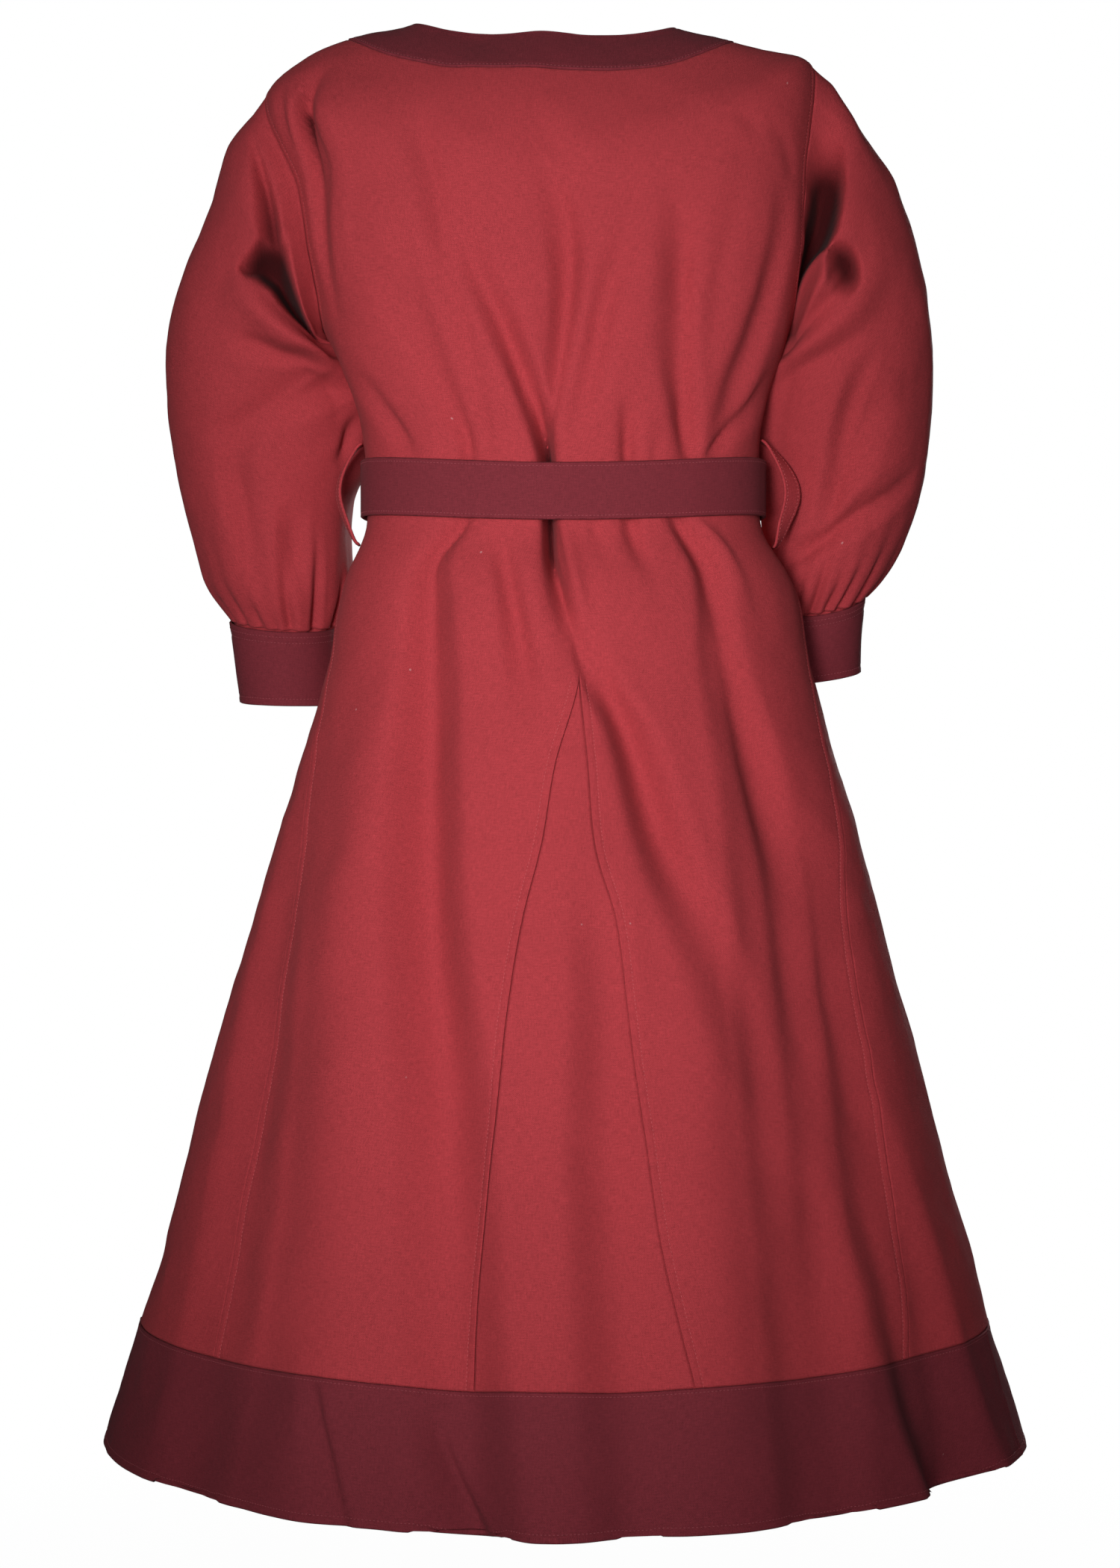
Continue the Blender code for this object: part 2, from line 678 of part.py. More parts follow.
YOKE_DOWNS = [NECKBAND_EDGE, 0.045, 0.058]
BODICE_DOWNS = [0.206, 0.223, 0.241, 0.257, 0.2725, 0.286, 0.301, 0.3155, 0.329]
SKIRT_DOWNS = [SIDE_GORE_TOP, 0.372, BACK_GORE_TOP, 0.440, 0.490, 0.545, 0.600, 0.655, 0.710, 0.760]
HALF_BACK = (0.0, 0.045, 0.09, 0.15, 0.22, 0.30, 0.39, 0.49, 0.59, 0.69, 0.79, 0.89, 1.0)
FRONT = tuple(np.linspace(0.0, 1.0, 17))
SIDE_GORE = tuple(np.linspace(0.0, 1.0, 7))
BACK_GORE = tuple(np.linspace(0.0, 1.0, 6))
SLEEVE_SHARES = (0.0, 0.05, 0.10, 0.15, 0.19, 0.23, 0.27, 0.32, 0.38, 0.45, 0.53, 0.61, 0.69, 0.77, 0.84,
                 0.90, 0.95, 1.0)


def panel_downs():
    """Every row of the front and back panels, from the neckband to the hem band."""
    downs = YOKE_DOWNS + armhole_downs() + BODICE_DOWNS + SKIRT_DOWNS + [BAND_SEAM]
    downs[0] += SEAM_GAP / 2
    downs[-1] -= SEAM_GAP / 2
    return downs


def back_panel(material):
    downs = panel_downs()
    edge = np.array([panel_edge(d) for d in downs])
    middle = np.array([centre_back(d) for d in downs])
    slit = np.where(np.array(downs) > BACK_GORE_TOP, 1.0, 0.0)
    gap = gap_angle(downs, edge)
    centre_gap = gap_angle(downs, middle[:, 0]) * slit
    towards_middle = 1.0 - np.array(HALF_BACK[::-1])
    left = spread(edge + gap, middle[:, 0] - centre_gap, towards_middle)
    right = spread(middle[:, 1] + centre_gap, 180.0 - edge - gap, HALF_BACK)
    halves = [body_sheet(downs, left), body_sheet(downs, right)]
    return cloth_piece("back_panel", halves, CLOTH_WALL, material)


def front_panel(material):
    downs = panel_downs()
    edge = np.array([panel_edge(d) for d in downs])
    gap = gap_angle(downs, edge)
    angles = spread(180.0 + edge + gap, 360.0 - edge - gap, FRONT)
    return cloth_piece("front_panel", [body_sheet(downs, angles)], CLOTH_WALL, material)


def side_gore(side, material):
    downs = [d for d in SKIRT_DOWNS if d > SIDE_GORE_TOP] + [BAND_SEAM - SEAM_GAP / 2]
    half = np.array([panel_edge(d) for d in downs])
    half = half - gap_angle(downs, half)
    downs = [SIDE_GORE_TOP + SIDE_GORE_TIP] + downs
    half = np.concatenate([[0.0], half])
    line = 0.0 if side == "left" else 180.0
    angles = spread(line - half, line + half, SIDE_GORE)
    return cloth_piece(f"side_gore_{side}", [body_sheet(downs, angles)], CLOTH_WALL, material)


def gore_back(material):
    downs = [d for d in SKIRT_DOWNS if d > BACK_GORE_TOP] + [BAND_SEAM - SEAM_GAP / 2]
    edges = np.array([centre_back(d) for d in downs])
    gap = gap_angle(downs, edges[:, 0])
    left, right = edges[:, 0] + gap, edges[:, 1] - gap
    lean = (left[0] + right[0]) / 2 - BACK_GORE_ANGLE
    tip = BACK_GORE_ANGLE + lean * BACK_GORE_TIP / (downs[0] - BACK_GORE_TOP)
    downs = [BACK_GORE_TOP + BACK_GORE_TIP] + downs
    angles = spread(np.concatenate([[tip], left]), np.concatenate([[tip], right]), BACK_GORE)
    return cloth_piece("gore_back", [body_sheet(downs, angles)], CLOTH_WALL, material)


def band_columns(down, right_seam):
    """The angles of the panels' and gores' columns along the seam at a height."""
    edge = panel_edge(down)
    left, right = centre_back(down)
    towards_middle = 1.0 - np.array(HALF_BACK[::-1])
    back = list(edge + (left - edge) * towards_middle)
    if right > left:
        back += list(left + (right - left) * np.array(BACK_GORE))
    back += list(right + (180.0 - edge - right) * np.array(HALF_BACK))
    front = list(180.0 + edge + (180.0 - 2 * edge) * np.array(FRONT))
    side = np.array(SIDE_GORE)
    near = list(edge * (2 * side[len(side) // 2 :] - 1)) if edge else []
    far = [180.0 - a for a in reversed(near)]
    every = near + back + far + front + [360.0 - a for a in near + far]
    every = np.unique(np.round(every, 6))
    seam = every[np.argmin(np.abs(every - right_seam))]
    return every[every <= seam], every[every >= seam]


def ring_band(name, downs, material, column_down, right_seam=180.0):
    """The back and the front half of a band that runs round the body."""
    halves = band_columns(column_down, right_seam)
    for part, angles in zip(("back", "front"), halves):
        grid = np.repeat(angles[None, :], len(downs), axis=0)
        gap = gap_angle(downs, grid[:, 0])
        grid[:, 0] += gap
        grid[:, -1] -= gap
        cloth_piece(f"{name}_{part}", [body_sheet(downs, grid)], BAND_WALL, material)


def neckband(material):
    ring_band("neck_band", [BODY["down"][0], 0.017, NECKBAND_EDGE - SEAM_GAP / 2], material, NECKBAND_EDGE)


def hem_band(material):
    downs = [BAND_SEAM + SEAM_GAP / 2, 0.830, 0.855, HEM]
    ring_band("hem_band", downs, material, BAND_SEAM, HEM_BAND_RIGHT_SEAM)


def sleeve_piece(side, material):
    """A sleeve whose first ring lies on the armhole's own straight stretches."""
    steps = 2 * ARMHOLE_STEPS
    turns = np.linspace(0.0, 360.0, 2 * steps + 1)
    shares = np.array(SLEEVE_SHARES)
    share_grid, turn_grid = np.meshgrid(shares, turns, indexing="ij")

    def surface(share, turn):
        return sleeve(side, share, turn)

    points = surface(share_grid, turn_grid)
    normals = side_sign(side) * normals_of(surface, share_grid, turn_grid, 1e-3)
    points[0, 1::2] = (points[0, :-1:2] + points[0, 2::2]) / 2
    down, angle = armhole(side, turns)
    off_body = normals_of(body, down, angle, 1e-4)
    outward = unit(points[1] - points[0])
    points[0] += SEAM_GAP * unit(outward + off_body)
    last = unit(points[-1] - points[-2])
    points[-1] -= SEAM_GAP * last
    points[:, -1], normals[:, -1] = points[:, 0], normals[:, 0]
    if side == "right":
        points, normals = points[:, ::-1], normals[:, ::-1]
    return cloth_piece(f"sleeve_{side}", [(points, normals)], CLOTH_WALL, material)


def cuff_piece(side, material):
    turns = np.linspace(0.0, 360.0, 2 * ARMHOLE_STEPS + 1)
    length = CUFF_DEPTH
    shares = np.array([SEAM_GAP / 2 / length, 0.5, 1.0])
    share_grid, turn_grid = np.meshgrid(shares, turns, indexing="ij")

    def surface(share, turn):
        return cuff(side, share, turn)

    points = surface(share_grid, turn_grid)
    normals = side_sign(side) * normals_of(surface, share_grid, turn_grid, 1e-3)
    points[:, -1], normals[:, -1] = points[:, 0], normals[:, 0]
    if side == "right":
        points, normals = points[:, ::-1], normals[:, ::-1]
    return cloth_piece(f"cuff_{side}", [(points, normals)], BAND_WALL, material)


def belt(material):
    """One strip round the waist whose last stretch lies on its first."""
    turns = np.linspace(BELT_START, BELT_START + 360.0 + BELT_LAP, BELT_COLUMNS + 1)
    lift = (BELT_WALL + 2 * SEAM_GAP) * ease((turns - BELT_START - 290.0) / 60.0)
    downs = np.array([BELT_TOP, BELT_BOTTOM])
    down_grid, turn_grid = np.meshgrid(downs, turns, indexing="ij")
    points, out = belt_line(down_grid, turn_grid)
    points = points + lift[None, :, None] * out
    return cloth_piece("belt", [(points, out)], BELT_WALL, material)


# Each belt loop is a strip that stands away from the side seam, past the belt
LOOP = {
    "left": dict(top=0.256, bottom=0.320, bow=0.0150, splay=0.003),
    "right": dict(top=0.254, bottom=0.322, bow=0.0140, splay=0.010),
}
LOOP_WIDTH = 0.011


def belt_loop(side, material):
    """A strip along the side seam, whose front edge stands out further than its back edge."""
    size, sign = LOOP[side], side_sign(side)
    angle = 0.0 if side == "left" else 180.0
    shares = np.linspace(0.0, 1.0, 13)
    side_down = size["top"] + shares * (size["bottom"] - size["top"])
    seam_down = np.interp(side_down, BODY["side"], BODY["down"])
    seam = body(seam_down, np.full_like(shares, angle))
    arch = np.sin(np.pi * shares) ** 0.7
    edges = []
    for y, splay in ((-LOOP_WIDTH / 2, size["splay"]), (LOOP_WIDTH / 2, 0.0)):
        x = seam[:, 0] + sign * (SEAM_GAP + LOOP_WALL + (size["bow"] + splay) * arch)
        edges.append(stack(x, y, seam[:, 2]))
    points = np.stack(edges, axis=1)
    along = np.gradient(points, axis=0)
    across = np.repeat((points[:, 1] - points[:, 0])[:, None, :], 2, axis=1)
    normals = unit(sign * np.cross(along, across))
    if side == "right":
        points, normals = points[:, ::-1], normals[:, ::-1]
    return cloth_piece(f"belt_loop_{side}", [(points, normals)], LOOP_WALL, material)


def main():
    for old in list(bpy.data.objects):
        bpy.data.objects.remove(old)
    red = cloth_material("red_cotton", RED, 0.9)
    wine = cloth_material("wine_cotton", WINE, 0.88)
    back_panel(red)
    front_panel(red)
    gore_back(red)
    neckband(wine)
    hem_band(wine)
    belt(wine)
    for side in ("left", "right"):
        side_gore(side, red)
        sleeve_piece(side, red)
        cuff_piece(side, wine)
        belt_loop(side, red)


main()
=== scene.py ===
# %% [markdown]
# # A child's viking dress, seen from behind
#
# The dress is sewn from flat pieces of red cotton canvas, with a neckband, cuffs, a hem band
# and a belt of darker cotton. It is shown worn and filled out, with no wearer in it. The
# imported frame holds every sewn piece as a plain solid. This lesson lays a fine sheet of cloth
# over each of them, with its creases, seams and stitches, and then dyes and lights it.

# %% Load the frame
import json
import math

import bpy
import numpy as np
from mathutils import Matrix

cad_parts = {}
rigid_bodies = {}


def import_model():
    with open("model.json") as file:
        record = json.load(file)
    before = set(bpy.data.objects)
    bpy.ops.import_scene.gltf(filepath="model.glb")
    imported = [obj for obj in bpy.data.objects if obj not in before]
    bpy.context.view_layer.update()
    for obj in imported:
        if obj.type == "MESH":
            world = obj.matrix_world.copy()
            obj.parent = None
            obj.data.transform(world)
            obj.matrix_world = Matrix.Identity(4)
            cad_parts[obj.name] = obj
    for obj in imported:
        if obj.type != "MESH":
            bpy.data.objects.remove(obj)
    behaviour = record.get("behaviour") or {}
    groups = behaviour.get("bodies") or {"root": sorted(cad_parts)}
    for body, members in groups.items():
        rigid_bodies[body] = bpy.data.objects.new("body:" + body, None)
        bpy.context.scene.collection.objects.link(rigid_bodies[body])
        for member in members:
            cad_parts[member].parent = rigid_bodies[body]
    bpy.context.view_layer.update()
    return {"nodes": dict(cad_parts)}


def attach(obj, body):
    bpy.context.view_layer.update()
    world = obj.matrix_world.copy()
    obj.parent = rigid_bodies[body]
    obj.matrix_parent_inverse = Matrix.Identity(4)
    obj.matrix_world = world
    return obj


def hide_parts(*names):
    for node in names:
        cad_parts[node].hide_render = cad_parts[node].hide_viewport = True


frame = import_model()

print("pieces in the frame:", len(frame["nodes"]))

# %% [markdown]
# ## The camera
#
# The picture was taken from behind, from a little under two metres away, with the lens level
# with the skirt. That distance shows in the hem: its near side hangs lower in the picture than
# its far side. A camera at the same place and with the same angle of view repeats it.

# %% Camera
CAMERA_DISTANCE = 1.75
CAMERA_LEVEL = -0.47
LENS_IN_PIXELS = 3723.0
PICTURE_HEIGHT = 2100.0
SENSOR = 36.0

camera_data = bpy.data.cameras.new("camera")
camera_data.sensor_fit = "AUTO"
camera_data.sensor_width = SENSOR
camera_data.lens = LENS_IN_PIXELS / PICTURE_HEIGHT * SENSOR
camera = bpy.data.objects.new("camera", camera_data)
camera.location = (0.0, CAMERA_DISTANCE, CAMERA_LEVEL)
camera.rotation_euler = (math.radians(90), 0.0, math.radians(180))
bpy.context.scene.collection.objects.link(camera)
bpy.context.scene.camera = camera
print("camera lens:", round(camera_data.lens, 2), "mm")

# %% [markdown]
# ## The form of the dress
#
# A garment is easiest to describe as rings. Each row of the table below is one ring of the
# body, and a smooth curve joins the rows. Any point of the cloth then has two numbers: how far
# down it lies and how far round, in degrees from the wearer's left. The sleeves work the same
# way, by share of their length and turn. These are the sizes that the solids were made from,
# so that the sheets lie on them.


# %% Named sizes
# Walls and seams
BELT_WALL = 0.0024
LOOP_WALL = 0.0016
SEAM_GAP = 0.0003  # between two pieces at a seam

# Heights down the back, measured from the origin
NECKBAND_EDGE = 0.032
SHOULDER_TIP = 0.072
UNDERARM = 0.190
SIDE_GORE_TOP = 0.345
BACK_GORE_TOP = 0.402
BACK_GORE_ANGLE = 93.4  # degrees round from the wearer's left
BAND_SEAM = 0.806
HEM = 0.880
HEM_BAND_RIGHT_SEAM = 170.0  # degrees round from the wearer's left

# The belt lies on the waist and is closed by a plain lap in front
BELT_TOP = 0.2775
BELT_BOTTOM = 0.3105
BELT_MIDDLE = (BELT_TOP + BELT_BOTTOM) / 2
BELT_CLEARANCE = 0.0007
BELT_START, BELT_LAP = 262.0, 24.0  # degrees

# The armhole is an oval cut in the side of the body, between shoulder tip and underarm
ARMHOLE_HALF_ANGLE = 13.5

CUFF_DEPTH = 0.050
GATHERS = 20  # round each cuff
GATHER_DEPTH = 0.0030
GATHER_RISE = 0.30  # share of the sleeve that the gathers run up


# %% A table by its columns
def columns(names, rows):
    """A table as one array for each named column."""
    return {name: np.array(values, float) for name, values in zip(names.split(), zip(*rows))}


LENGTHS = ("down", "depth", "width")


def fold(names, rows):
    """The table of one fold. Its lengths are given in millimetres and kept in metres."""
    table = columns(names, rows)
    return {name: values / 1000 if name in LENGTHS else values for name, values in table.items()}


def folds(names, tables):
    return {title: fold(names, rows) for title, rows in tables.items()}


# %% Rings of the body
# One row for each section of the body, from the neck down. down, side and front are how far
# the ring lies below the origin at the centre back, at the sides and at the centre front.
# tilt is how much lower its left side is than its right, rise how late it climbs to the side.
BODY = columns(
    "down side tilt rise front middle half back_depth front_depth square",
    [
        (0.004, -0.008, 0.000, 3.6, 0.028, 0.0103, 0.0825, 0.030, 0.060, 2.4),
        (0.032, 0.002, 0.000, 3.6, 0.062, 0.0120, 0.1210, 0.058, 0.086, 2.5),
        (0.052, 0.0115, 0.004, 3.2, 0.083, 0.0100, 0.1470, 0.071, 0.091, 2.6),
        (0.072, 0.0255, 0.017, 2.8, 0.104, 0.0127, 0.1675, 0.080, 0.094, 2.8),
        (0.125, 0.095, 0.006, 2.4, 0.146, 0.0050, 0.1605, 0.089, 0.097, 2.9),
        (0.190, 0.184, 0.000, 2.0, 0.194, 0.0018, 0.1455, 0.089, 0.097, 2.6),
        (0.235, 0.230, 0.000, 2.0, 0.235, 0.0000, 0.1300, 0.084, 0.091, 2.4),
        (0.272, 0.2625, 0.000, 2.0, 0.265, -0.0015, 0.1240, 0.079, 0.083, 2.2),
        (0.294, 0.285, 0.000, 2.0, 0.287, -0.0020, 0.1240, 0.079, 0.083, 2.2),
        (0.316, 0.308, 0.000, 2.0, 0.309, -0.0025, 0.1240, 0.079, 0.083, 2.2),
        (0.345, 0.340, 0.000, 2.0, 0.341, -0.0042, 0.1390, 0.091, 0.090, 2.05),
        (0.402, 0.402, 0.000, 2.0, 0.402, -0.0055, 0.1530, 0.106, 0.103, 1.95),
        (0.470, 0.470, 0.000, 2.0, 0.470, -0.0055, 0.1730, 0.126, 0.120, 1.9),
        (0.560, 0.560, 0.000, 2.0, 0.560, -0.0040, 0.1985, 0.152, 0.143, 1.85),
        (0.660, 0.660, 0.000, 2.0, 0.660, -0.0035, 0.2260, 0.180, 0.170, 1.8),
        (0.740, 0.740, 0.000, 2.0, 0.740, -0.0040, 0.2475, 0.203, 0.191, 1.8),
        (0.806, 0.806, 0.000, 2.0, 0.806, -0.0035, 0.2660, 0.221, 0.209, 1.8),
        (0.880, 0.880, 0.000, 2.0, 0.880, -0.0030, 0.2885, 0.241, 0.229, 1.8),
    ],
)
print("rings of the body:", len(BODY["down"]))


# %% Edges of the gores
# Degrees from the side line to a side gore's edge, and of the two edges of the back gore
GORES = columns(
    "down side_gore back_left back_right",
    [
        (0.345, 0.0, 93.4, 93.4),
        (0.402, 7.2, 93.4, 93.4),
        (0.458, 12.7, 86.0, 95.2),
        (0.507, 17.5, 83.1, 96.8),
        (0.546, 20.7, 80.0, 100.9),
        (0.600, 23.0, 78.0, 102.8),
        (0.660, 24.8, 77.0, 104.0),
        (0.740, 27.6, 75.3, 105.6),
        (0.806, 30.0, 75.6, 108.5),
    ],
)
print("degrees of the back gore at the band:", GORES["back_left"][-1], "to", GORES["back_right"][-1])


# %% The largest folds of the body
# Each fold is a line with some rows of its own: how far down, degrees from the wearer's left
# (0) round the back (90), how far out the cloth is pushed, and half the fold's width.
# Lengths are in millimetres.
FOLD = "down angle depth width"
FOLDS = folds(FOLD, {
    # bodice, back
    "centre pleat": [
        (50, 45, 0, 18), (107, 53, -3, 20), (140, 56, -4, 20), (193, 69, -6, 16), (262, 82, -12, 9),
        (311, 84, -12, 7), (341, 86, -10, 10), (399, 94, 0, 14),
    ],
    "pleat's right arm": [(93, 92, 0, 14), (131, 94, -3, 16), (166, 95, -5, 14), (250, 87, 0, 10)],
    "right drag line": [
        (109, 132, 0, 14), (155, 132, -4, 16), (193, 131, -5, 16), (275, 140, -4, 10),
        (300, 142, 0, 10),
    ],
    "short right line": [(133, 120, 0, 12), (166, 111, -3, 14), (240, 98, -4, 12), (272, 92, 0, 10)],
    "left drag line": [
        (150, 34, 0, 18), (220, 45, -5, 16), (271, 51, -5, 11), (300, 53, -2, 10),
        (334, 42, -6, 12), (359, 43, -9, 18), (448, 49, -15, 27), (535, 56, -17, 31),
        (630, 65, -17, 34), (750, 71, -15, 37), (880, 77, -15, 40),
    ],
    "right tuck": [(235, 118, 0, 10), (274, 118, -5, 8), (316, 118, -4, 8), (345, 119, 0, 10)],
    "left armhole fold": [
        (50, 16, 0, 12), (70, 22, -7, 13), (102, 26, -11, 13), (143, 24, -6, 14), (185, 22, 0, 14),
    ],
    "right armhole fold": [
        (120, 158, 0, 12), (180, 156, -6, 14), (235, 152, -5, 14), (285, 150, 0, 10),
    ],
    # skirt, back
    "gore's right valley": [
        (330, 97, 0, 10), (406, 99, -9, 14), (436, 107, -12, 18), (473, 111, -13, 21),
        (516, 115, -10, 24), (575, 122, -6, 26), (660, 127, 0, 28),
    ],
    "left short valley": [(318, 62, 0, 10), (346, 68, -5, 11), (393, 74, -5, 14), (440, 78, 0, 16)],
    "right long valley": [
        (300, 134, 0, 10), (325, 139, -6, 12), (393, 138, -10, 18), (449, 139, -16, 27),
        (525, 139, -20, 34), (665, 133, -16, 38), (880, 127, -11, 40),
    ],
    "valley in the gore": [(500, 96, 0, 18), (598, 98, -6, 24), (660, 97, -7, 26), (880, 99, -4, 30)],
    "gore's ridge": [(480, 88, 0, 30), (660, 87, 4, 40), (880, 88, 12, 50)],
    "left ridge": [(390, 33, 0, 30), (492, 37, 6, 34), (705, 50, 9, 45), (880, 54, 8, 50)],
    "right ridge": [(480, 122, 0, 30), (578, 119, 5, 34), (702, 114, 7, 40), (880, 112, 7, 45)],
    "right side valley": [
        (560, 146, 0, 30), (680, 148, -10, 40), (760, 150, -20, 44), (806, 151, -28, 46),
        (845, 152, -35, 48), (880, 154, -42, 50),
    ],
    "left side valley": [(430, 16, 0, 24), (560, 20, -7, 34), (720, 28, -8, 40), (880, 32, -6, 45)],
    # bodice, front
    "front left drag line": [
        (110, 296, 0, 16), (190, 290, -4, 18), (275, 281, -6, 10), (345, 284, -8, 14),
        (560, 290, -13, 34), (880, 295, -14, 45),
    ],
    "front right drag line": [
        (130, 243, 0, 16), (200, 250, -4, 18), (275, 258, -5, 10), (345, 254, -8, 14),
        (560, 247, -12, 32), (880, 241, -14, 45),
    ],
    # skirt, front
    "front ridge": [(400, 270, 0, 35), (640, 269, 7, 50), (880, 268, 11, 60)],
    "front left ridge": [(420, 314, 0, 30), (640, 318, 7, 42), (880, 320, 10, 50)],
    "front right ridge": [(430, 223, 0, 30), (660, 219, 6, 40), (880, 216, 10, 50)],
    "front left valley": [(380, 333, 0, 20), (600, 339, -9, 34), (880, 342, -15, 42)],
    "front right valley": [(400, 202, 0, 20), (620, 197, -8, 34), (880, 193, -12, 42)],
})
print("large folds of the body:", len(FOLDS))


# %% Rings of the sleeves and cuffs
# One row for each section of a sleeve. The outer and inner points are the section's two ends
# seen from behind; drop is how much lower its back lies than its middle.
SLEEVE = {
    "left": columns(
        "share outer outer_down inner inner_down forward half_depth drop",
        [
            (0.00, 0.1802, 0.034, 0.1490, 0.184, 0.000, 0.058, 0.000),
            (0.12, 0.2010, 0.062, 0.1505, 0.194, -0.006, 0.060, 0.002),
            (0.24, 0.2200, 0.101, 0.1440, 0.207, -0.012, 0.059, 0.003),
            (0.36, 0.2390, 0.142, 0.1325, 0.222, -0.019, 0.057, 0.004),
            (0.48, 0.2510, 0.184, 0.1280, 0.241, -0.028, 0.056, 0.005),
            (0.60, 0.2520, 0.224, 0.1275, 0.263, -0.040, 0.056, 0.006),
            (0.72, 0.2465, 0.266, 0.1325, 0.290, -0.051, 0.055, 0.007),
            (0.84, 0.2370, 0.308, 0.1335, 0.322, -0.059, 0.052, 0.008),
            (0.93, 0.2270, 0.342, 0.1370, 0.348, -0.064, 0.045, 0.008),
            (1.00, 0.2135, 0.364, 0.1435, 0.368, -0.067, 0.034, 0.007),
        ],
    ),
    "right": columns(
        "share outer outer_down inner inner_down forward half_depth drop",
        [
            (0.00, 0.1555, 0.017, 0.1440, 0.184, 0.000, 0.058, 0.000),
            (0.12, 0.1880, 0.047, 0.1450, 0.193, -0.006, 0.060, 0.002),
            (0.24, 0.2110, 0.088, 0.1395, 0.206, -0.012, 0.059, 0.003),
            (0.36, 0.2275, 0.131, 0.1345, 0.220, -0.019, 0.057, 0.004),
            (0.48, 0.2370, 0.174, 0.1308, 0.237, -0.028, 0.056, 0.005),
            (0.60, 0.2395, 0.214, 0.1295, 0.257, -0.040, 0.056, 0.006),
            (0.72, 0.2350, 0.256, 0.1335, 0.281, -0.051, 0.055, 0.007),
            (0.84, 0.2265, 0.296, 0.1335, 0.309, -0.059, 0.052, 0.009),
            (0.93, 0.2140, 0.326, 0.1320, 0.334, -0.064, 0.045, 0.011),
            (1.00, 0.1995, 0.347, 0.1320, 0.356, -0.067, 0.034, 0.011),
        ],
    ),
}

# How each cuff ends: the outer and inner ends of its lower edge
CUFF = {
    "left": dict(outer=0.2065, outer_down=0.4160, inner=0.1390, inner_down=0.4170, forward=-0.072),
    "right": dict(outer=0.1965, outer_down=0.3960, inner=0.1300, inner_down=0.4040, forward=-0.072),
}
print("rings of a sleeve:", len(SLEEVE["left"]["share"]))


# %% The largest folds of the sleeves
# Folds that run down a sleeve, by share of its length and degrees from its outer side (0)
# round its back (90), and folds that cross it
LONG_FOLD = "share turn depth width"
CROSS_FOLD = "turn share depth width"
SLEEVE_LENGTH = 0.34
SLEEVE_FOLDS = {
    "left": [
        fold(LONG_FOLD, [
            (0.04, 126, 0, 12), (0.1, 122, -9, 14), (0.16, 118, -13, 14), (0.27, 112, 0, 14),
        ]),
        fold(LONG_FOLD, [
            (0.3, 165, 0, 20), (0.4, 140, -6, 20), (0.52, 108, -6, 18), (0.62, 81, -5, 16),
            (0.8, 76, -5, 14), (0.95, 79, 0, 10),
        ]),
        fold(LONG_FOLD, [(0.73, 112, 0, 12), (0.83, 109, -5, 14), (0.93, 106, 0, 12)]),
        fold(LONG_FOLD, [
            (0.1, 262, 0, 14), (0.32, 258, -8, 18), (0.55, 254, -6, 20), (0.75, 250, 0, 18),
        ]),
    ],
    "right": [
        fold(LONG_FOLD, [
            (0.03, 126, 0, 12), (0.09, 122, -12, 16), (0.16, 118, -17, 17), (0.29, 108, 0, 16),
        ]),
        fold(LONG_FOLD, [
            (0.46, 84, 0, 14), (0.55, 90, -6, 16), (0.68, 98, -8, 16), (0.79, 106, -5, 14),
            (0.88, 111, 0, 12),
        ]),
        fold(LONG_FOLD, [
            (0.08, 265, 0, 14), (0.3, 262, -9, 18), (0.5, 268, -6, 20), (0.78, 262, 0, 18),
        ]),
    ],
}
SLEEVE_BENDS = {
    "left": [
        fold(CROSS_FOLD, [
            (66, 0.235, 0, 18), (88, 0.255, -11, 20), (112, 0.23, -13, 20), (140, 0.215, -14, 17),
            (168, 0.225, -6, 16), (190, 0.24, 0, 18),
        ]),
        fold(CROSS_FOLD, [
            (60, 0.35, 0, 26), (100, 0.35, 7, 26), (140, 0.32, 7, 24), (175, 0.33, 0, 24),
        ]),
        fold(CROSS_FOLD, [
            (215, 0.25, 0, 18), (245, 0.27, -10, 18), (285, 0.25, -6, 18), (312, 0.24, 0, 18),
        ]),
    ],
    "right": [
        fold(CROSS_FOLD, [
            (64, 0.255, 0, 18), (84, 0.25, -10, 18), (104, 0.225, -12, 20), (130, 0.205, -13, 17),
            (160, 0.215, -6, 16), (186, 0.23, 0, 18),
        ]),
        fold(CROSS_FOLD, [
            (60, 0.345, 0, 26), (96, 0.345, 7, 26), (136, 0.315, 7, 24), (172, 0.325, 0, 24),
        ]),
        fold(CROSS_FOLD, [
            (30, 0.76, 0, 14), (52, 0.785, -5, 15), (90, 0.83, -6, 15), (129, 0.875, -4, 14),
            (150, 0.89, 0, 14),
        ]),
        fold(CROSS_FOLD, [
            (210, 0.24, 0, 18), (248, 0.26, -11, 18), (280, 0.25, -6, 18), (308, 0.235, 0, 18),
        ]),
    ],
}
